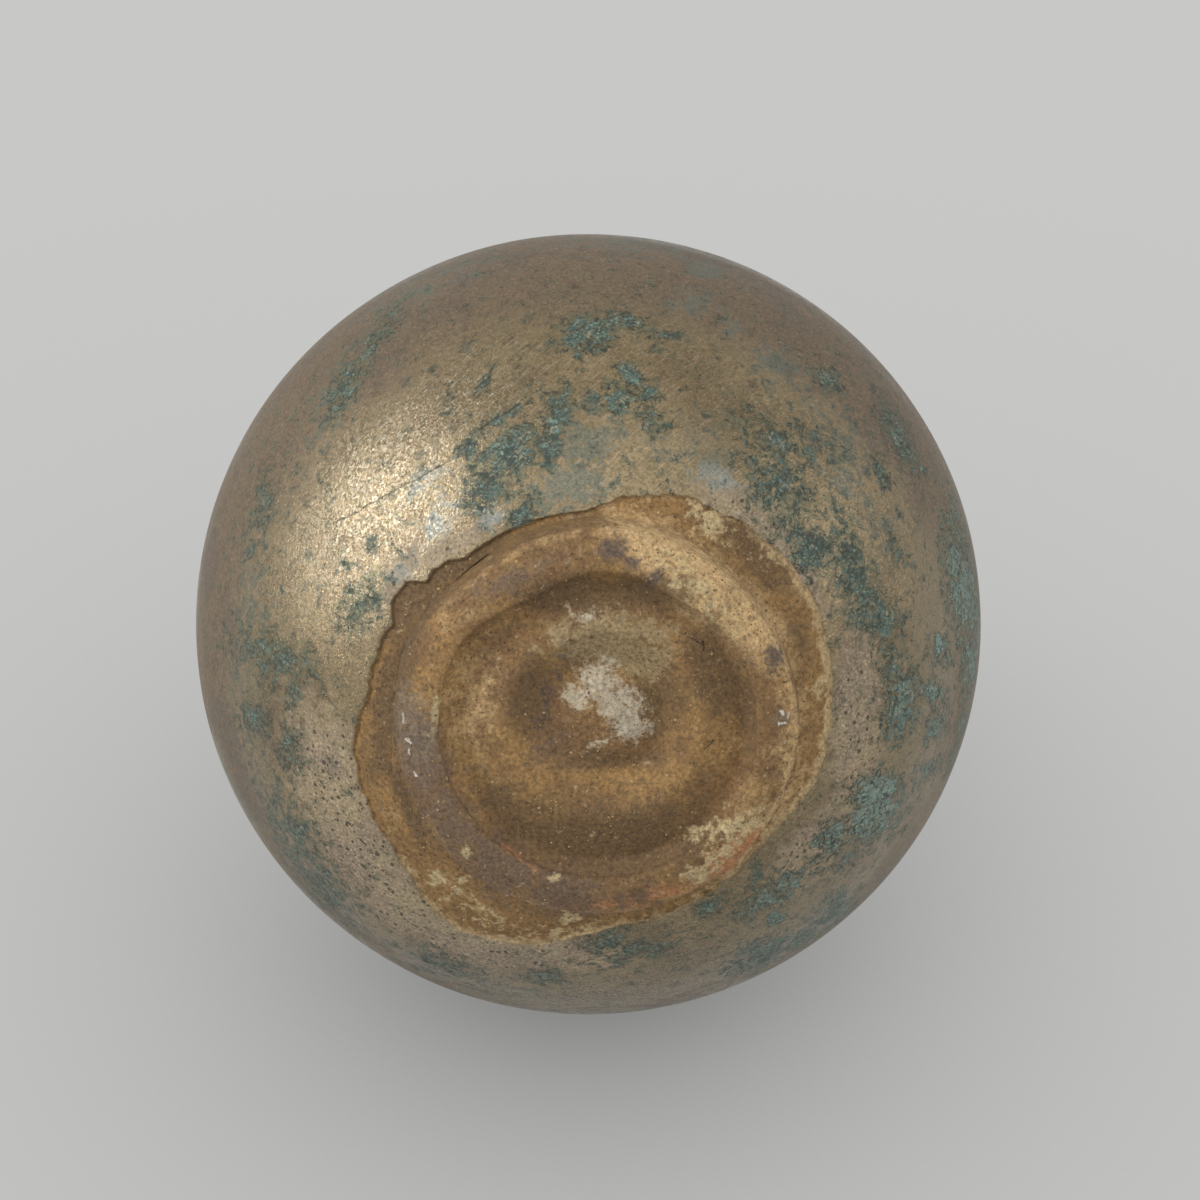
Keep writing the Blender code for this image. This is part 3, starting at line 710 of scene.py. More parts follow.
# Photo pixels, measured about one centre by angle from the picture's right, counter-clockwise.
ringCentre = (600, 719)
glazeReach = {
    0: 233, 15: 240, 30: 247, 45: 247, 58: 241, 70: 241, 80: 230, 90: 216, 97: 206, 113: 201, 126: 206,
    134: 219, 138: 226, 142: 223, 145: 238, 149: 243, 156: 230, 160: 233, 167: 236, 175: 238, 187: 252,
    205: 249, 215: 247, 228: 256, 236: 257, 245: 247, 255: 237, 265: 220, 275: 210, 290: 208, 325: 207,
    335: 215, 345: 227,
}
ringOuterReach = {
    0: 200, 30: 192, 60: 191, 90: 193, 112: 191, 130: 190, 147: 197, 158: 204, 180: 205, 210: 205, 240: 202,
    270: 199, 330: 200,
}
ringInnerReach = {
    0: 157, 30: 153, 60: 142, 75: 146, 90: 147, 105: 142, 120: 138, 150: 157, 180: 162, 240: 161, 330: 162,
}


def roundTheFoot(reach, heightAt, angles):
    # turns measured pixels into a radius for every angle round the foot
    known = []
    for turn, pixels in reach.items():
        across = ringCentre[0] + pixels * math.cos(math.radians(turn))
        down = ringCentre[1] - pixels * math.sin(math.radians(turn))
        spot = fromPhoto(across, down, globe["foot"])
        for _ in range(6):
            spot = fromPhoto(across, down, heightAt(math.hypot(spot.x, spot.y)))
        known.append((math.atan2(spot.y, spot.x), math.hypot(spot.x, spot.y)))
    known.sort()
    return np.interp(angles, [k[0] for k in known], [k[1] for k in known], period=math.tau)


def byAngle(values, angles):
    # values given by picture angle, blended from one to the next round the foot
    turns = np.mod([math.radians(-turn) for turn in values], math.tau)
    return np.interp(angles, *zip(*sorted(zip(turns, values.values()))), period=math.tau)


footRing = {
    "columns": 600, "spacing": 0.34 * mm, "waver": 0.12 * mm, "waverLength": 12 * mm, "rib": 0.05 * mm,
    "ribHeight": 2 * mm,
    "innerRadius": 23.4 * mm, "land": 2.5 * mm, "faceRadius": 29.8 * mm, "bevel": 2.7 * mm,
    "innerHeight": 0.0004,  # of the inner edge that was measured in the photograph
    "sunk": 1.8 * mm,  # how far it runs up into the body, out of sight
    "lean": 0.6 * mm,  # the inner face leans in
    "innerWorn": 0.8 * mm, "landWorn": 1.4 * mm, "faceWorn": 1.0 * mm,
    "chipSize": 2.2 * mm, "chipDepth": 0.22 * mm, "grainSize": 0.8 * mm, "grainDepth": 0.07 * mm,
    "rub": {0: 1.0, 60: 0.9, 110: 0.6, 150: 0.3, 200: 0.1, 270: 0.2, 300: 0.6},  # by picture angle
}


def makeFootRing():
    f = footRing
    inner, top = f["innerRadius"], footTop.z + f["sunk"]
    outline = softened([
        (inner - f["lean"], top, 0), (inner, 0.0, f["innerWorn"]), (inner + f["land"], 0.0, f["landWorn"]),
        (f["faceRadius"], f["bevel"], f["faceWorn"]), (footTop.x, footTop.z, 0), (footTop.x, top, 0),
    ])
    outline = spaced(outline, f["spacing"])
    outline += spaced([outline[-1], outline[0]], 2 * mm)[1:]
    piece = turned("foot_ring_clay", outline, f, clayCoat)
    points = places(piece)
    radius, height = outlinePlaces(piece)
    angles = np.arctan2(points[:, 1], points[:, 0])
    innerShift = roundTheFoot(ringInnerReach, lambda r: f["innerHeight"], angles) - inner
    outerShift = roundTheFoot(ringOuterReach, lambda r: f["bevel"], angles) - f["faceRadius"]
    across = np.clip((radius - inner) / (f["faceRadius"] - inner), 0, 1)
    shift = innerShift * (1 - across) ** 1.5 + np.minimum(outerShift, footTop.x - f["faceRadius"]) * across
    out = points * np.array([1, 1, 0])
    out /= np.linalg.norm(out, axis=1)[:, None]
    points += out * shift[:, None]
    # worn and chipped, but never below the face that it stands on
    normals = facings(piece)
    chips = np.clip(roughness(points, f["chipSize"], 4) - 0.1, 0, 1) * f["chipDepth"]
    grains = (roughness(points + 0.01, f["grainSize"], 2) + 0.5) * f["grainDepth"]
    points -= normals * (chips + np.clip(grains, 0, 1))[:, None]
    points[:, 2] = np.maximum(points[:, 2], 0)
    movePlaces(piece, points)
    outer = f["faceRadius"]
    # painted shade, with some dirt, in the crease where the ring's bevel meets the body
    creaseDarkening = np.interp(height, [f["bevel"] - 0.2 * mm, f["bevel"] + 0.9 * mm], [0, 0.9])
    keepField(piece, "cove", creaseDarkening * (radius > outer - mm))
    rub = np.exp(-(((radius - outer + 0.7 * mm) / (0.6 * mm)) ** 2)) * (height < f["bevel"] + 0.3 * mm)
    keepField(piece, "rub", rub * byAngle(f["rub"], angles))
    return piece


baseDisc = {
    "columns": 400, "spacing": 0.3 * mm, "waver": 0.0, "waverLength": 20 * mm, "rib": 0.0,
    "ribHeight": 3 * mm,
    "reach": 24.6 * mm, "margin": 29.2 * mm, "marginRise": 1.2 * mm, "floor": 9.9 * mm,
    "innerEdge": 28.2 * mm,
    "springing": 2.8 * mm, "offCentre": (1.9 * mm, -1.7 * mm),
    # share of the way out, and height over the resting plane in mm: boss, groove, ridge, edge
    "profile": (
        (0, 1.5), (0.2, 1.7), (0.33, 2.9), (0.39, 2.9), (0.59, 0.6), (0.64, 0.55), (0.90, 2.7),
        (0.93, 2.65), (1, 1.1), (1.08, 0.9),
    ),
    "soft": 13,  # steps of the profile, out of 400, that a corner is rounded by
    "grainSize": 1.0 * mm, "grainDepth": 0.07 * mm, "lumpSize": 7 * mm, "lumpDepth": 0.2 * mm,
}


def makeBaseDisc():
    b = baseDisc
    innerHeight = float(lowerHeight(b["innerEdge"], globe["wall"]))
    under = spaced([(0.0, b["springing"]), (b["reach"], b["springing"])], b["spacing"])
    marginHeight = globe["foot"] + b["marginRise"]
    side = [(b["reach"], globe["foot"]), (b["margin"], marginHeight), (b["innerEdge"], innerHeight)]
    floor = []
    for step in range(1, 13):
        share = 1 - step / 12
        floor.append((b["innerEdge"] * share, b["floor"] + (innerHeight - b["floor"]) * share**2))
    piece = turned("base_disc_clay", under + side + floor, b, clayCoat)
    points = places(piece)
    radius, height = outlinePlaces(piece)
    seen = (height < b["springing"] + 1e-6) & (radius < b["reach"] + 1e-6)
    # the trimmed underside: a low ridge round a shallow hollow, thrown off centre
    off = np.array(b["offCentre"])
    away = points[:, :2] - off
    far = np.linalg.norm(away, axis=1)
    way = away / np.maximum(far, 1e-9)[:, None]
    along = way @ off
    ring = footRing["innerRadius"]
    edge = -along + np.sqrt(np.maximum(along**2 + ring**2 - off @ off, 0))
    angles = np.arctan2(points[:, 1], points[:, 0])
    drawn = roundTheFoot(ringInnerReach, lambda r: footRing["innerHeight"], angles)
    share = far / (edge * drawn / ring)
    steps = np.linspace(0, b["profile"][-1][0], 400)
    line = np.interp(steps, *zip(*b["profile"])) * mm
    blur = np.hanning(2 * b["soft"] + 1)
    line = np.convolve(np.pad(line, b["soft"], mode="edge"), blur / blur.sum(), mode="valid")
    under = np.interp(share, steps, line)
    under += roughness(points, b["lumpSize"], 2) * b["lumpDepth"]
    under += roughness(points + 0.02, b["grainSize"], 3) * b["grainDepth"]
    points[:, 2] = np.where(seen, under, points[:, 2])
    movePlaces(piece, points)
    return piece


bowl = {
    "columns": 640, "spacing": 0.78 * mm, "waver": 0.30 * mm, "waverLength": 45 * mm, "rib": 0.14 * mm,
    "ribHeight": 7 * mm,
    "footRadius": 29.6 * mm, "edgeRadius": 34.0 * mm, "settled": 50.0 * mm,
    "bareSpacing": 0.26 * mm, "bareSunk": 0.2 * mm,
    "raggedSize": 3.2 * mm, "raggedReach": 0.55 * mm, "leastReach": 30.9 * mm, "innerFoot": 28.6 * mm,
    "edgeSteps": (-0.45, -0.3, -0.18, -0.1, -0.05, 0.0, 0.05, 0.12, 0.2, 0.32, 0.5, 0.8),  # mm
    "thickness": {  # of the glaze in mm, by picture angle
        0: 0.2, 45: 0.25, 70: 0.3, 95: 0.4, 130: 0.45, 160: 0.45, 190: 0.4, 230: 0.3, 270: 0.3, 310: 0.2,
    },
    "lime": {
        0: 1.0, 25: 1.0, 45: 0.55, 75: 0.5, 100: 0.4, 120: 0.0, 205: 0.0, 222: 0.6, 270: 0.75, 290: 0.3,
        318: 0.9, 345: 1.0,
    },
    "grainSize": 0.9 * mm, "grainDepth": 0.07 * mm,
}


def makeBowl():
    b = bowl
    edge = b["edgeRadius"]
    offsets = np.array(b["edgeSteps"]) * mm
    radii = list(np.arange(b["footRadius"], edge + offsets[0], b["bareSpacing"])) + list(edge + offsets)
    arc = []
    startTurn, endTurn = math.asin((radii[-1] + 0.5 * mm) / globe["radius"]), math.pi / 2
    count = round(globe["radius"] * (endTurn - startTurn) / b["spacing"])
    for step in range(count + 1):
        turn = startTurn + (endTurn - startTurn) * step / count
        arc.append((globe["radius"] * math.sin(turn), globe["middle"] - globe["lowerDepth"] * math.cos(turn)))
    outer = [(radius, float(lowerHeight(radius))) for radius in radii] + arc
    for height in np.linspace(globe["middle"], globe["seam"], 9)[1:]:
        outer.append((float(upperRadius(height)), height))
    lap = globe["radius"] - globe["wall"] / 2
    inner = [(lap, globe["seam"]), (lap, bowlTop.z)]
    for height in np.linspace(bowlTop.z, globe["middle"], 4):
        inner.append((float(upperRadius(height, globe["wall"])), height))
    width, depth = globe["radius"] - globe["wall"], globe["lowerDepth"] - globe["wall"]
    for turn in np.linspace(math.pi / 2, math.asin(b["innerFoot"] / width), 12)[1:]:
        inner.append((width * math.sin(turn), globe["middle"] - depth * math.cos(turn)))
    piece = turned("lower_bowl_glaze", outer + inner + outer[:1], b, glazeCoat)
    points = places(piece)
    radius, height = outlinePlaces(piece)
    cut = np.hypot(points[:, 0], points[:, 1]) - radius
    angles = np.arctan2(points[:, 1], points[:, 0])
    outside = (np.abs(height - lowerHeight(radius)) < 1e-6) & (height < globe["middle"])
    # draw the glaze edge where the photograph has it
    reach = roundTheFoot(glazeReach, lowerHeight, angles)
    circle = np.stack([np.cos(angles), np.sin(angles), np.zeros(len(angles))], axis=1) * edge
    reach += roughness(circle, b["raggedSize"], 5) * b["raggedReach"]
    reach = np.maximum(reach, b["leastReach"])
    foot, settled = b["footRadius"], b["settled"]
    drawnIn = foot + (radius - foot) * (reach - foot) / (edge - foot)
    drawnOut = reach + (radius - edge) * (settled - reach) / (settled - edge)
    drawn = np.where(radius <= edge, drawnIn, np.where(radius < settled, drawnOut, radius))
    drawn = np.where(outside, drawn, radius)
    past = np.where(outside, drawn - reach, 1.0)  # metres on to the glaze
    rise = np.interp(past / mm, [-0.12, 0.0, 0.12, 0.3, 0.8], [0.0, 0.45, 0.8, 0.94, 1.0])
    sunk = (1 - rise) * (byAngle(b["thickness"], angles) * mm) + np.where(past < -0.1 * mm, b["bareSunk"], 0)
    across = drawn / globe["radius"] ** 2
    down = (lowerHeight(drawn) - globe["middle"]) / globe["lowerDepth"] ** 2
    size = np.hypot(across, down)
    across, down = across / size, down / size
    grain = np.where(past < 0, roughness(points, b["grainSize"], 3) * b["grainDepth"], 0)
    sunk = np.where(outside, sunk + grain, 0)
    level = np.where(outside, drawn - sunk * across, radius) + cut
    points[:, 0] = np.cos(angles) * level
    points[:, 1] = np.sin(angles) * level
    points[:, 2] = np.where(outside, lowerHeight(drawn) - sunk * down, points[:, 2])
    movePlaces(piece, points)
    keepField(piece, "bare", np.interp(past / mm, [-0.06, 0.02], [1.0, 0.0]) * outside)
    keepField(piece, "damp", np.where(outside & (past < 0), 0.7, 0.0))
    # painted shade, with some dirt, in the crease at the foot of the bowl
    keepField(piece, "cove", np.interp(drawn - foot, [0.4 * mm, 1.6 * mm], [0.9, 0]) * outside)
    limeLine = np.interp(past / mm, [-1.7, -0.9, -0.1, 0.2, 0.6], [0, 0.65, 1.0, 0.85, 0])
    keepField(piece, "lime", limeLine * byAngle(b["lime"], angles) * outside)
    return piece


shoulder = {
    "columns": 360, "spacing": 0.9 * mm, "waver": bowl["waver"], "waverLength": bowl["waverLength"],
    "rib": bowl["rib"], "ribHeight": bowl["ribHeight"],
}
neck = {
    "columns": 240, "spacing": 0.8 * mm, "waver": 0.15 * mm, "waverLength": 22 * mm, "rib": 0.22 * mm,
    "ribHeight": 4 * mm,
    "waist": 1.2 * mm, "wall": 4.2 * mm, "spigot": 1.6 * mm, "lap": 4 * mm,
}
neck["radius"] = neckTop.x
neck["foot"] = float(upperHeight(neck["radius"] + joint)) + joint
neck["top"] = mouthFoot.z - joint
mouth = {
    "columns": 320, "spacing": 0.6 * mm, "waver": 0.15 * mm, "waverLength": 22 * mm, "rib": 0.16 * mm,
    "ribHeight": 4 * mm,
    "radius": 26 * mm, "wall": 3.8 * mm, "flare": 1.7,
    "lipReach": 7.0 * mm, "lipAngle": math.radians(24), "pinchDepth": 3.6 * mm,
    "pinchAngle": math.radians(52),
}
mouth["rim"] = mouthTop.z - mouth["wall"] / 2


def makeShoulder():
    opening = neck["radius"] - neck["spigot"] + joint
    lap = globe["radius"] - globe["wall"] / 2 + joint
    startTurn = math.asin((globe["seam"] - globe["middle"]) / globe["upperRise"])
    endTurn = math.acos((neck["radius"] + joint) / globe["radius"])
    outer = []
    count = round(globe["radius"] * (endTurn - startTurn) / shoulder["spacing"])
    for turn in np.linspace(startTurn, endTurn, count):
        height = globe["middle"] + globe["upperRise"] * math.sin(turn)
        outer.append((globe["radius"] * math.cos(turn), height))
    inner = [(opening, outer[-1][1])]
    width, rise = globe["radius"] - globe["wall"], globe["upperRise"] - globe["wall"]
    startTurn, endTurn = math.acos(opening / width), math.asin((bowlTop.z + joint - globe["middle"]) / rise)
    for turn in np.linspace(startTurn, endTurn, 14):
        inner.append((width * math.cos(turn), globe["middle"] + rise * math.sin(turn)))
    inner += [(lap, bowlTop.z + joint), (lap, globe["seam"])]
    return turned("shoulder_glaze", outer + inner + outer[:1], shoulder, glazeCoat)


def neckRadius(height):
    share = np.clip((height - neck["foot"]) / (neck["top"] - neck["foot"]), 0, 1)
    return neck["radius"] - neck["waist"] * np.sin(math.pi * share)


def mouthRadius(height):
    share = np.maximum(0, height - neck["top"]) / (mouth["rim"] - neck["top"])
    return neck["radius"] + (mouth["radius"] - neck["radius"]) * share ** mouth["flare"]


def makeNeck():
    n = neck
    bore, spigot = n["radius"] - n["wall"], n["radius"] - n["spigot"]
    heights = np.linspace(n["foot"], n["top"], round((n["top"] - n["foot"]) / n["spacing"]))
    outer = [(spigot, neckFoot.z), (spigot, n["foot"])] + [(float(neckRadius(z)), z) for z in heights]
    lap = n["radius"] - n["wall"] / 2
    outer += [(lap, n["top"]), (lap, n["top"] + n["lap"]), (bore, n["top"] + n["lap"])]
    inner = [(float(neckRadius(z)) - n["wall"], z) for z in heights[::-1][1:-1:2]]
    inner += [(bore, neckFoot.z)]
    return turned("neck_glaze", outer + inner + outer[:1], n, glazeCoat)


collar = {"spacing": 0.5 * mm, "inset": 0.3 * mm, "sunk": 0.2 * mm, "bulge": 1.2}


def makeCollar():
    inside = neck["radius"] - collar["inset"]
    outline = []
    for turn in np.linspace(0, math.pi / 2, 15):
        radius = inside + (collarTop.x - inside) * math.cos(turn) ** collar["bulge"]
        outline.append((radius, collarFoot.z - joint + (collarTop.z - collarFoot.z + joint) * math.sin(turn)))
    foot = float(upperHeight(collarTop.x)) - collar["sunk"]
    outline = [(inside, foot), (collarTop.x, foot)] + outline + [(inside, foot)]
    return turned("neck_collar_glaze", spaced(outline, collar["spacing"]), neck, glazeCoat)


def makeMouth():
    m = mouth
    lapFoot, lapTop = neck["top"], neck["top"] + neck["lap"] + joint
    lap, bore = neck["radius"] - neck["wall"] / 2 + joint, neck["radius"] - neck["wall"]
    heights = np.linspace(lapFoot, m["rim"], round((m["rim"] - lapFoot) / m["spacing"]))
    outer = [(lap, lapFoot)] + [(float(mouthRadius(z)), z) for z in heights]
    half = m["wall"] / 2
    for turn in np.linspace(0, math.pi, 13)[1:-1]:
        outer.append((m["radius"] - half + half * math.cos(turn), m["rim"] + half * math.sin(turn)))
    thicker = float(mouthRadius(lapTop)) - bore - m["wall"]  # the wall swells to meet the bore of the neck
    inner = []
    for z in heights[::-1]:
        if z > lapTop:
            share = (z - lapTop) / (m["rim"] - lapTop)
            inner.append((float(mouthRadius(z)) - m["wall"] - thicker * (1 - share) ** 2, z))
    inner += [(bore, lapTop), (lap, lapTop)]
    piece = turned("mouth_glaze", outer + inner + outer[:1], m, glazeCoat)
    # pull the pouring lip out on -X and nip the rim in beside it
    points = places(piece)
    lipFoot = neck["top"] + neck["lap"]
    rise = np.clip((points[:, 2] - lipFoot) / (mouthTop.z - lipFoot), 0, 1)
    away = np.abs(np.arctan2(points[:, 1], -points[:, 0]))
    lip = np.exp(-((away / m["lipAngle"]) ** 2)) * m["lipReach"]
    nip = np.exp(-(((away - m["pinchAngle"]) / m["lipAngle"]) ** 2)) * m["pinchDepth"]
    radius = np.hypot(points[:, 0], points[:, 1])
    points[:, :2] *= ((radius + rise**2 * (lip - nip)) / radius)[:, None]
    movePlaces(piece, points)
    return piece


handle = {
    "width": 16 * mm, "thickness": 7.8 * mm, "rows": 120, "columns": 56, "flare": 0.28, "squareness": 0.75,
    "setback": 3.5 * mm, "rootInset": 19.5 * mm, "bendRise": 23 * mm, "topDrop": 10.5 * mm,
    "topSlope": math.radians(17),
    "tenon": 3 * mm, "lowerPull": 10.5 * mm, "upperPull": 21 * mm, "lumpSize": 9 * mm, "lumpDepth": 0.12 * mm,
}


def handleRoots():
    radius = globe["radius"] - handle["rootInset"]
    low = Vector((radius, 0.0, float(upperHeight(radius))))
    up = (low.z - globe["middle"]) / globe["upperRise"] ** 2
    lowWay = Vector((radius / globe["radius"] ** 2, 0.0, up)).normalized()
    topHeight = neck["top"] - handle["topDrop"]
    high = Vector((float(neckRadius(topHeight)), 0.0, topHeight))
    return low, lowWay, high, Vector((math.cos(handle["topSlope"]), 0.0, math.sin(handle["topSlope"])))


def strapTree():
    # A strap of rounded section along a curve, wider at both roots, with closed ends.
    tree = nodeTree("pulledStrap", {
        "Geometry": "Geometry", "Rows": "Int", "Columns": "Int", "Width": "Float", "Thickness": "Float",
        "Flare": "Float", "Squareness": "Float", "Material": "Material",
    })
    add = partial(addNode, tree)
    given = add("NodeGroupInput", output=None)
    grid, row, angle = gridRound(add, given["Columns"], given["Rows"])
    # the first and the last row close the ends, so the path runs between the second and the last but one
    spans = add("ShaderNodeMath", given["Rows"], 3.0, operation="SUBTRACT")
    station = add("ShaderNodeMath", row, 1.0, operation="SUBTRACT")
    factor = add("ShaderNodeMath", station, spans, operation="DIVIDE", use_clamp=True)
    path = add(
        "GeometryNodeSampleCurve", {"Curves": given["Geometry"], "Factor": factor}, output=None,
        mode="FACTOR",
    )
    broad = (0.0, 1.0, 0.0)
    through = add("ShaderNodeVectorMath", path["Tangent"], broad, operation="CROSS_PRODUCT")
    doubled = add("ShaderNodeMath", factor, 2.0, -1.0, operation="MULTIPLY_ADD")
    ends = add("ShaderNodeMath", doubled, operation="ABSOLUTE")
    cubed = add("ShaderNodeMath", ends, 3.0, operation="POWER")
    swell = add("ShaderNodeMath", cubed, given["Flare"], 1.0, operation="MULTIPLY_ADD")
    last = add("ShaderNodeMath", spans, 0.5, operation="ADD")
    late = add("ShaderNodeMath", station, last, operation="LESS_THAN")
    early = add("ShaderNodeMath", station, -0.5, operation="GREATER_THAN")
    within = add("ShaderNodeMath", late, early, operation="MULTIPLY")
    place = path["Position"]
    for turn, size, way, grown in (("COSINE", "Width", broad, swell), ("SINE", "Thickness", through, 1.0)):
        wave = add("ShaderNodeMath", angle, operation=turn)
        sign = add("ShaderNodeMath", wave, operation="SIGN")
        bare = add("ShaderNodeMath", wave, operation="ABSOLUTE")
        reach = add("ShaderNodeMath", bare, given["Squareness"], operation="POWER")
        for share in (sign, given[size], grown, within, 0.5):
            reach = add("ShaderNodeMath", reach, share, operation="MULTIPLY")
        step = add("ShaderNodeVectorMath", {0: way, 3: reach}, operation="SCALE")
        place = add("ShaderNodeVectorMath", place, step, operation="ADD")
    formed = add("GeometryNodeSetPosition", {"Geometry": grid, "Position": place})
    merged = add("GeometryNodeMergeByDistance", {"Geometry": formed, "Distance": 1e-6})
    coatForm(add, merged, given["Material"])
    return tree


def makeHandle():
    h = handle
    low, lowWay, high, highWay = handleRoots()
    bend = Vector((globe["radius"] - h["setback"] - h["thickness"] / 2, 0.0, low.z + h["bendRise"]))
    rise = Vector((0.0, 0.0, 1.0))
    path = bpy.data.curves.new("handle_path", "CURVE")
    path.dimensions = "3D"
    spline = path.splines.new("BEZIER")
    spline.bezier_points.add(2)
    stations = (
        (low - lowWay * h["tenon"], low - lowWay * 2 * h["tenon"], low + lowWay * h["lowerPull"]),
        (bend, bend - rise * h["lowerPull"], bend + rise * h["upperPull"]),
        (high - highWay * h["tenon"], high + highWay * h["upperPull"], high - highWay * 2 * h["tenon"]),
    )
    for point, (place, before, after) in zip(spline.bezier_points, stations):
        point.co, point.handle_left, point.handle_right = place, before, after
    path.resolution_u = 32
    piece = madeByNodes("handle_glaze", path, strapTree(), h, glazeCoat)
    facesOutward(piece)
    points = places(piece)
    points -= facings(piece) * ((roughness(points, h["lumpSize"]) + 1) * h["lumpDepth"])[:, None]
    movePlaces(piece, points)
    return piece


lute = {
    "spread": 4 * mm, "uneven": 0.16, "height": 5.2 * mm, "columns": 64, "rows": 14, "bury": 1.2 * mm,
    "flareShare": 0.85,  # of the strap's flare, where it meets the wall
    "cornerRise": 0.4 * mm, "skin": 0.05 * mm, "sunk": 0.1 * mm,
}


def makeLute(name, root, way, surface):
    # clay smeared from the strap down on to the wall, as a hollow curve all round
    across = Vector((0.0, 1.0, 0.0))
    along = across.cross(way)
    wide = handle["width"] / 2 * (1 + handle["flare"] * lute["flareShare"])
    tall = handle["thickness"] / 2
    rings = []
    for row in range(lute["rows"] + 3):
        share = min(1.0, row / lute["rows"])
        ring = []
        for column in range(lute["columns"]):
            turn = math.tau * column / lute["columns"]
            c = math.copysign(abs(math.cos(turn)) ** handle["squareness"], math.cos(turn))
            s = math.copysign(abs(math.sin(turn)) ** handle["squareness"], math.sin(turn))
            edge = across * c * wide + along * s * tall
            outward = (across * math.cos(turn) * wide + along * math.sin(turn) * tall).normalized()
            top = root + way * lute["height"] + edge * 0.98
            spread = lute["spread"] * (1 + lute["uneven"] * math.sin(3 * turn + root.z * 100))
            foot = root + edge + outward * spread
            corner = root + way * lute["cornerRise"] + edge * 1.03
            spot = top * (1 - share) ** 2 + corner * 2 * share * (1 - share) + foot * share**2
            floor = surface(spot)
            if row == lute["rows"]:
                spot = floor - way * lute["sunk"]
            elif row > lute["rows"]:
                spot = root - way * lute["bury"] + edge * (0.9 if row == lute["rows"] + 1 else 0.0)
            elif (spot - floor).dot(way) < 0:
                spot = floor + way * lute["skin"]
            ring.append(spot)
        rings.append(ring)
    rings.insert(0, [root + way * lute["height"]] * lute["columns"])
    form = bmesh.new()
    made = [[form.verts.new(spot) for spot in ring] for ring in rings]
    for near, far in zip(made, made[1:]):
        for column in range(lute["columns"]):
            after = (column + 1) % lute["columns"]
            form.faces.new((near[column], near[after], far[after], far[column]))
    bmesh.ops.remove_doubles(form, verts=form.verts, dist=1e-6)
    bmesh.ops.recalc_face_normals(form, faces=form.faces)
    mesh = bpy.data.meshes.new(name)
    form.to_mesh(mesh)
    form.free()
    mesh.materials.append(glazeCoat)
    mesh.shade_smooth()
    return newObject(name, mesh)


def onShoulder(spot):
    # straight down on to the upper half of the globe
    radius = min(math.hypot(spot.x, spot.y), 0.999 * globe["radius"])
    return Vector((spot.x, spot.y, float(upperHeight(radius))))


def onNeck(spot):
    side = math.sqrt(max(0.0, float(neckRadius(spot.z)) ** 2 - spot.y**2))
    return Vector((side, spot.y, spot.z))


grit = {
    "spacing": 1.25 * mm, "seed": 7,
    "size": 0.19 * mm,  # bigger than most of the sand, so that it shows
    "least": (0.4, 0.4, 0.3), "most": (1.5, 1.2, 0.9),  # of that size, along the three axes of a grain
    "downward": -0.2,  # Z of a normal, on the steepest face that holds grains
}


def gritTree():
    # Grains of sand that stand out of the bare clay, on the faces that look down.
    tree = nodeTree("sandInClay", {
        "Geometry": "Geometry", "Spacing": "Float", "Size": "Float", "Seed": "Int", "Material": "Material",
    })
    add = partial(addNode, tree)
    given = add("NodeGroupInput", output=None)
    bare = add("GeometryNodeInputNamedAttribute", {"Name": "bare"}, data_type="FLOAT")
    facing = add("ShaderNodeSeparateXYZ", add("GeometryNodeInputNormal"), output="Z")
    down = add("ShaderNodeMath", facing, grit["downward"], operation="LESS_THAN")
    showing = add("ShaderNodeMath", bare, down, operation="MULTIPLY")
    chosen = add("ShaderNodeMath", showing, 0.5, operation="GREATER_THAN")
    gap = add("ShaderNodeMath", given["Spacing"], -2.0, operation="POWER")
    spots = add("GeometryNodeDistributePointsOnFaces", {
        "Mesh": given["Geometry"], "Selection": chosen, "Density": gap, "Seed": given["Seed"],
    }, output=None)
    grain = add("GeometryNodeMeshIcoSphere", {"Radius": given["Size"], "Subdivisions": 1}, output="Mesh")
    laid = {"Points": spots["Points"], "Instance": grain}
    for name, low, high in (
        ("Rotation", (0.0, 0.0, 0.0), (6.3, 6.3, 6.3)), ("Scale", grit["least"], grit["most"]),
    ):
        laid[name] = add(
            "FunctionNodeRandomValue", {0: low, 1: high, "Seed": given["Seed"]}, data_type="FLOAT_VECTOR",
        )
    grains = add("GeometryNodeInstanceOnPoints", laid)
    for name, low, high in (("worn", -1.2, 1.6), ("dirt", -1.6, 1.2)):
        tone = add(
            "FunctionNodeRandomValue", {2: low, 3: high, "Seed": given["Seed"]}, output=1,
            data_type="FLOAT",
        )
        grains = add(
            "GeometryNodeStoreNamedAttribute", {"Geometry": grains, "Name": name, "Value": tone},
            data_type="FLOAT", domain="INSTANCE",
        )
    real = add("GeometryNodeRealizeInstances", {"Geometry": grains})
    # no grain lifts the foot off the floor
    place = add("GeometryNodeInputPosition")
    above = add("ShaderNodeVectorMath", place, (-1.0, -1.0, 0.0), operation="MAXIMUM")
    kept = add("GeometryNodeSetPosition", {"Geometry": real, "Position": above})
    coated = add("GeometryNodeSetMaterial", {"Geometry": kept, "Material": given["Material"]})
    add("NodeGroupOutput", {"Geometry": coated}, output=None)
    return tree


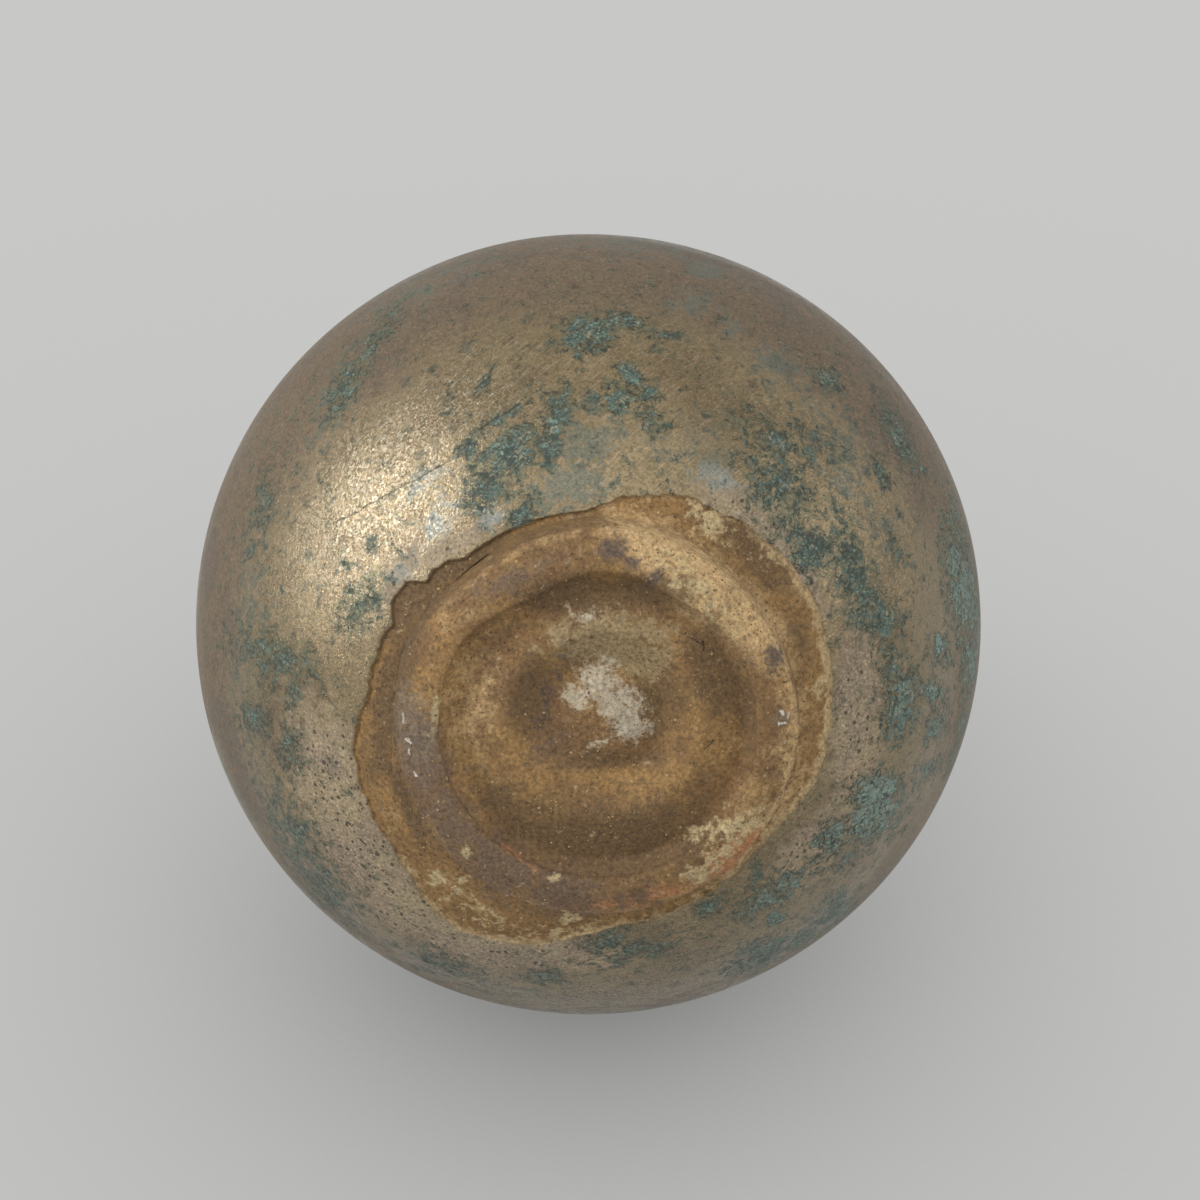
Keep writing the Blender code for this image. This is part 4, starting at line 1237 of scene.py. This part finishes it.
footPiece = makeFootRing()
basePiece = makeBaseDisc()
bowlPiece = makeBowl()
shoulderPiece = makeShoulder()
neckPiece = makeNeck()
collarPiece = makeCollar()
mouthPiece = makeMouth()
handlePiece = makeHandle()
lowRoot, lowWay, highRoot, _ = handleRoots()
lowLutePiece = makeLute("handle_lower_lute_glaze", lowRoot, lowWay, onShoulder)
highLutePiece = makeLute("handle_upper_lute_glaze", highRoot, Vector((1.0, 0.0, 0.0)), onNeck)
for piece in (footPiece, basePiece):
    keepField(piece, "bare", np.ones(len(piece.data.vertices)))
sand = gritTree()
gritPieces = [
    madeByNodes("sand_" + piece.name, piece.data.copy(), sand, grit, clayCoat)
    for piece in (footPiece, basePiece, bowlPiece)
]
print("pieces shaped")

# What the photograph shows on the glaze: across, down, half length, half width, turn, strength.
glazeMarks = {
    "teal": (
        (592, 333, 24, 14, 10), (626, 320, 17, 5, -15), (659, 333, 20, 5, -5, 0.7), (635, 379, 13, 7, -50),
        (650, 393, 9, 6, -20), (618, 398, 22, 12, 20, 0.8), (655, 420, 14, 9, -20, 0.8),
        (558, 412, 20, 9, 65), (551, 445, 23, 7, 80), (510, 453, 30, 17, 25), (468, 447, 10, 8, 40),
        (500, 418, 30, 4, 30, 0.8), (487, 377, 13, 3, 55, 0.8), (488, 487, 22, 16, 30, 0.8),
        (522, 515, 19, 8, 60), (346, 384, 30, 10, 62, 0.75), (380, 335, 32, 9, 55, 0.5),
        (261, 513, 34, 8, 80, 0.5), (275, 656, 36, 18, -25, 0.62), (360, 605, 27, 14, 60, 0.6),
        (372, 541, 9, 5, 60, 0.8), (348, 566, 6, 5, 0, 0.8), (256, 720, 18, 12, -60, 0.62),
        (291, 692, 12, 9, -50, 0.62), (290, 753, 22, 9, -70, 0.6), (298, 836, 38, 14, -62, 0.6),
        (323, 885, 36, 15, -55, 0.6), (441, 963, 30, 10, -20, 0.6), (546, 976, 17, 7, -5, 0.65),
        (608, 941, 20, 10, 15, 0.7), (829, 381, 13, 8, -35), (898, 436, 32, 8, -65, 0.8),
        (921, 470, 7, 4, -60, 0.8), (882, 475, 15, 6, -70), (779, 438, 42, 14, -15, 0.68),
        (780, 490, 40, 24, -55, 0.68), (810, 548, 22, 15, -50), (856, 581, 50, 14, -75, 0.8),
        (898, 553, 12, 6, -70, 0.8), (964, 590, 70, 14, -80, 0.8), (972, 660, 40, 10, 88, 0.75),
        (958, 760, 26, 9, 72, 0.7), (885, 619, 22, 14, -60, 0.8), (893, 668, 32, 10, -85, 0.6),
        (940, 650, 14, 9, -80, 0.7), (932, 691, 14, 10, -30, 0.8), (900, 708, 30, 15, 70, 0.85),
        (935, 726, 15, 10, 60, 0.8), (965, 725, 13, 7, 75, 0.7), (878, 792, 20, 14, 35),
        (874, 813, 32, 18, 45), (927, 770, 13, 8, 50, 0.7), (833, 836, 18, 13, 45, 0.8),
        (847, 857, 13, 8, 40, 0.7), (772, 893, 36, 13, 30, 0.72), (775, 918, 10, 5, 30),
        (756, 875, 12, 5, 75, 0.7), (833, 913, 24, 11, 40, 0.8), (760, 955, 30, 12, 22, 0.8),
        (800, 940, 22, 8, 30, 0.7), (710, 906, 12, 8, 30, 0.7), (640, 950, 40, 8, 12, 0.6),
    ),
    "dull": (
        (705, 270, 14, 9, 0), (692, 303, 20, 12, 0), (733, 327, 10, 8, 0), (777, 366, 24, 14, -45),
        (566, 483, 42, 22, 10), (620, 245, 80, 12, -5, 0.6), (420, 290, 70, 16, 30, 0.62),
        (590, 440, 60, 36, 20, 0.7), (340, 390, 60, 18, 60, 0.8), (250, 640, 130, 22, 88, 0.62),
        (300, 860, 110, 24, -58, 0.66), (450, 965, 90, 14, -20, 0.66), (840, 470, 110, 40, -60, 0.6),
        (690, 450, 60, 26, -10, 0.6),
    ),
    "lilac": (
        (492, 515, 16, 12, 20, 0.8), (440, 520, 34, 12, 55, 0.8), (401, 573, 14, 10, 30, 0.7),
        (722, 479, 26, 11, -15, 0.9), (430, 480, 30, 10, 40, 0.6),
    ),
    # rubbed crust, and a painted highlight where the key lamp's gleam falls
    "rubbed": ((375, 490, 88, 66, 58), (460, 400, 60, 40, 40, 0.6)),
    "sage": (
        (935, 660, 150, 34, 85), (880, 810, 80, 44, 52), (800, 905, 80, 30, 30, 0.8),
        (700, 440, 70, 26, -10, 0.7), (500, 965, 90, 14, -8, 0.6),
    ),
    "pale": (
        (950, 640, 150, 50, 82, 0.9), (890, 790, 90, 50, 50, 0.9), (790, 905, 90, 40, 30, 0.7),
        (610, 400, 60, 30, 20, 0.4),
    ),
    "band": (
        (856, 730, 98, 24, 88), (815, 848, 54, 22, 48), (335, 790, 90, 36, -70), (360, 850, 50, 32, -50),
        (400, 900, 45, 28, -45), (470, 945, 60, 22, -20), (560, 955, 60, 16, 0),
        (400, 574, 34, 10, 60, 0.9), (456, 543, 44, 9, 30, 0.9), (740, 505, 40, 14, -25),
        (790, 560, 50, 12, -55),
    ),
}
# ... and on the bare clay of the band round the foot, the foot and the base
clayMarks = {
    # lighter clay: wear on the ring, and at (475, 705) a painted lit left flank of the base
    "worn": (
        (705, 590, 85, 24, -40, 1.5), (790, 740, 80, 20, 88, 0.54), (560, 555, 70, 18, 12, 0.24),
        (480, 605, 40, 18, 40, 0.36), (745, 820, 40, 20, 50, 0.6), (788, 795, 30, 14, 62, 0.7),
        (475, 705, 70, 30, 85, 0.55), (795, 590, 40, 10, -55, 0.4), (398, 812, 50, 16, -62, 0.3),
    ),
    "cream": (
        (690, 582, 76, 15, -42, 0.55), (712, 522, 22, 18, -40, 0.8), (700, 508, 14, 8, -30, 0.7),
        (830, 660, 46, 4, -85, 0.8), (829, 735, 36, 5, 80), (815, 782, 22, 5, 55), (795, 813, 20, 5, 50),
        (774, 841, 18, 6, 50), (467, 851, 5, 5, 0), (437, 877, 9, 6, -30), (460, 880, 7, 5, 0),
        (553, 878, 6, 5, 0), (570, 918, 10, 5, -10), (696, 875, 12, 7, 20), (736, 826, 34, 11, 15, 0.9),
        (435, 713, 20, 3.5, 85), (820, 690, 12, 9, 60, 0.7), (720, 855, 30, 9, 38, 0.7),
        (600, 930, 64, 6, 2, 0.8), (470, 908, 50, 7, -32, 0.5), (480, 905, 40, 5, -28, 0.55),
        (560, 503, 40, 4, 12, 0.7), (770, 560, 16, 12, -50, 0.4),
    ),
    "orange": (
        (513, 853, 30, 3, -35, 0.6), (620, 903, 50, 7, 6, 0.55), (735, 851, 28, 11, 38, 1.4),
        (668, 892, 30, 7, 18, 0.7),
    ),
    "residue": (
        (598, 682, 18, 20, 0), (578, 697, 14, 11, 0, 0.9), (618, 702, 24, 18, -30), (628, 725, 16, 14, 0),
        (588, 617, 16, 7, 10, 0.66), (596, 745, 16, 6, 20, 0.5),
    ),
    "olive": ((610, 640, 60, 26, 0), (645, 658, 24, 22, 0)),
    "smoke": (
        (425, 760, 44, 24, -70), (450, 820, 48, 24, -55), (500, 868, 48, 24, -33), (560, 893, 44, 20, -10),
        (630, 898, 40, 14, 8, 0.7), (505, 582, 34, 12, 25, 0.85), (555, 745, 34, 22, 40, 0.6),
        (545, 560, 30, 8, 15, 0.6),
    ),
    "glassy": ((416, 732, 36, 17, -80), (780, 718, 9, 7, 0, 0.8)),
    # dark blots on the ring; the two long ones inside the base are painted shade on the left wall of its
    # hollow
    "blot": (
        (613, 549, 14, 10, 40), (631, 563, 9, 7, 0), (655, 578, 11, 6, 40), (775, 660, 10, 17, 0, 0.9),
        (560, 670, 26, 8, 75, 0.6), (545, 710, 40, 10, 80, 0.55),
    ),
    # dark clay: dirt, and painted shade under the ring's inner edge at the top, on the right and lower flanks
    # of the base and round its boss
    "dirt": (
        (606, 838, 150, 44, 0, 0.9), (612, 866, 118, 20, 3, 0.85), (606, 796, 96, 24, 0, 0.5),
        (660, 694, 40, 40, 0, 0.85), (650, 640, 40, 20, -20, 0.5), (500, 800, 46, 20, -50, 0.8),
        (716, 672, 58, 32, -72, 0.95), (748, 705, 50, 12, -85, 0.8), (600, 594, 112, 20, 0, 0.95),
        (395, 690, 90, 18, 78, 1.0), (528, 690, 48, 20, 80, 0.9), (610, 760, 56, 11, 2, 0.85),
        (700, 650, 50, 16, -55, 0.8), (500, 640, 50, 10, 45, 0.5), (752, 540, 64, 26, -42, 1.0),
        (800, 640, 40, 12, -80, 0.7), (405, 800, 56, 9, -68, 0.9), (415, 590, 60, 20, 52, 1.2),
        (460, 563, 44, 9, 32, 1.1),
    ),
}
for piece, marks in (
    (bowlPiece, glazeMarks), (bowlPiece, clayMarks), (footPiece, clayMarks), (basePiece, clayMarks),
):
    for name, patches in marks.items():
        patched(piece, name, patches)
keepField(bowlPiece, "seen", np.clip(towardCamera(bowlPiece) / photo["seen"], 0, 1))
print("marks painted")

# a dressed piece has the name of the solid that it replaces, and its finish after it
for piece in (footPiece, basePiece):
    finishPiece(piece, "bare_clay", piece.name.removesuffix("_clay"))
for piece in (
    bowlPiece, shoulderPiece, neckPiece, collarPiece, mouthPiece, handlePiece, lowLutePiece, highLutePiece,
):
    finishPiece(piece, "weathered_glaze", piece.name.removesuffix("_glaze"))
for piece in gritPieces:
    finishPiece(piece, "bare_clay")
for name in ("base_lute", "belly_lute"):
    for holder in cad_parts[name].material_slots:
        holder.material = clayCoat
print("pieces finished")

# The ewer stands upright here; the photograph shows it lying on its side on a table. The table is there only
# for lines of sight that come up through both sheets of the standing floor, so the other views see just
# that floor.
stage = {
    "pale": "#cececd", "tableUp": Vector((-0.01, -0.9256, -0.3787)).normalized(), "reach": 0.75,
    "tableTone": "#c8c8c6", "light": 0.62, "shadeReach": 0.24, "deepest": 0.3,
    "fadeFrom": 0.6, "fadeTo": 0.97,  # of the reach
    "lampAim": Vector((0.0, 0.0, 0.07)), "tableMiddle": Vector((0.0, 0.0, 0.06)),
}
lamps = {
    "key": {"way": (-0.83, -0.43, -0.36), "far": 0.7, "long": 0.52, "wide": 0.14, "watts": 2.3},
    "top": {"way": (-0.10, -0.60, -0.78), "far": 1.0, "long": 1.3, "wide": 1.3, "watts": 3.6},
    "right": {"way": (0.85, -0.36, -0.38), "far": 1.0, "long": 0.6, "wide": 0.6, "watts": 1.1},
    "sky": {"way": (0.15, 0.34, 0.93), "far": 1.0, "long": 0.9, "wide": 0.9, "watts": 3.2},
    "back": {"way": (0.1, 0.82, 0.56), "far": 1.0, "long": 0.9, "wide": 0.9, "watts": 3.0},
}


def floorMaterial(name, tone, throughFloor):
    material, tree, add = newMaterial(name)
    tree.nodes.clear()
    path = add("ShaderNodeLightPath", output=None)
    # the floor gives its own light, as most lamps are under it; its shade is what the ewer hides of the sky
    sky = add("ShaderNodeAmbientOcclusion", {"Distance": stage["shadeReach"]}, output="AO", samples=16)
    shade = add("ShaderNodeMapRange", sky, 0.0, 1.0, stage["deepest"])
    matte = add("ShaderNodeEmission", {"Color": linear(tone), "Strength": shade})
    clear = add("ShaderNodeBsdfTransparent")
    if throughFloor:
        shown = add("ShaderNodeMath", path["Transparent Depth"], 1.5, operation="GREATER_THAN")
        lit = add("ShaderNodeMath", 1.0, path["Is Shadow Ray"], operation="SUBTRACT")
        shown = add("ShaderNodeMath", shown, lit, operation="MULTIPLY")
    else:
        behind = add("ShaderNodeNewGeometry", output="Backfacing")
        front = add("ShaderNodeMath", 1.0, behind, operation="SUBTRACT")
        shown = add("ShaderNodeMath", front, path["Is Camera Ray"], operation="MULTIPLY")
    # the floor runs out softly into the background, which has the same tone
    place = add("ShaderNodeTexCoord", output="Object")
    far = add("ShaderNodeVectorMath", place, output="Value", operation="LENGTH")
    fadeFrom, fadeTo = stage["fadeFrom"] * stage["reach"], stage["fadeTo"] * stage["reach"]
    near = add("ShaderNodeMapRange", far, fadeFrom, fadeTo, 1.0, 0.0, interpolation_type="SMOOTHSTEP")
    shown = add("ShaderNodeMath", shown, near, operation="MULTIPLY")
    mixed = add("ShaderNodeMixShader", shown, clear, matte)
    add("ShaderNodeOutputMaterial", {"Surface": mixed}, output=None)
    return material


def addFloor(name, spot, up, material):
    form = bmesh.new()
    bmesh.ops.create_circle(form, cap_ends=True, segments=96, radius=stage["reach"])
    mesh = bpy.data.meshes.new(name)
    form.to_mesh(mesh)
    form.free()
    mesh.materials.append(material)
    floor = newObject(name, mesh)
    floor.matrix_world = Matrix.Translation(spot) @ up.to_track_quat("Z", "Y").to_matrix().to_4x4()
    floor.visible_shadow = False


def addLamp(name, way, far, long, wide, watts):
    data = bpy.data.lights.new(name, "AREA")
    data.shape = "RECTANGLE"
    data.size, data.size_y = long, wide
    data.energy = watts
    lamp = newObject(name, data)
    way = Vector(way).normalized()
    along = Vector((0.0, 0.0, 1.0)).cross(way).normalized()
    axes = Matrix((along, way.cross(along), way)).transposed()
    lamp.matrix_world = Matrix.Translation(stage["lampAim"] + way * far) @ axes.to_4x4()


lowest = min(
    float(np.min(places(piece) @ np.array(stage["tableUp"])))
    for piece in (bowlPiece, shoulderPiece, neckPiece, mouthPiece, handlePiece)
)
tableUp, tableSpot = stage["tableUp"], stage["tableMiddle"]
tableSpot = tableSpot + tableUp * (lowest - tableSpot.dot(tableUp))
paleFloor = floorMaterial("pale_floor", stage["pale"], False)
for name, drop in (("standing_floor", 0.2 * mm), ("standing_floor_under", 0.8 * mm)):
    addFloor(name, Vector((0.0, 0.0, -drop)), Vector((0.0, 0.0, 1.0)), paleFloor)
addFloor("photo_table", tableSpot, tableUp, floorMaterial("pale_table", stage["tableTone"], True))
for name, sizes in lamps.items():
    addLamp(name + "_lamp", **sizes)
world = bpy.data.worlds.new("pale_studio")
world.use_nodes = True
sky = world.node_tree.nodes["Background"]
sky.inputs["Strength"].default_value = stage["light"]
sky.inputs["Color"].default_value = (1.0, 1.0, 0.99, 1.0)
bpy.context.scene.world = world
bpy.context.scene.view_settings.view_transform = "Standard"
print("stage and light ready")
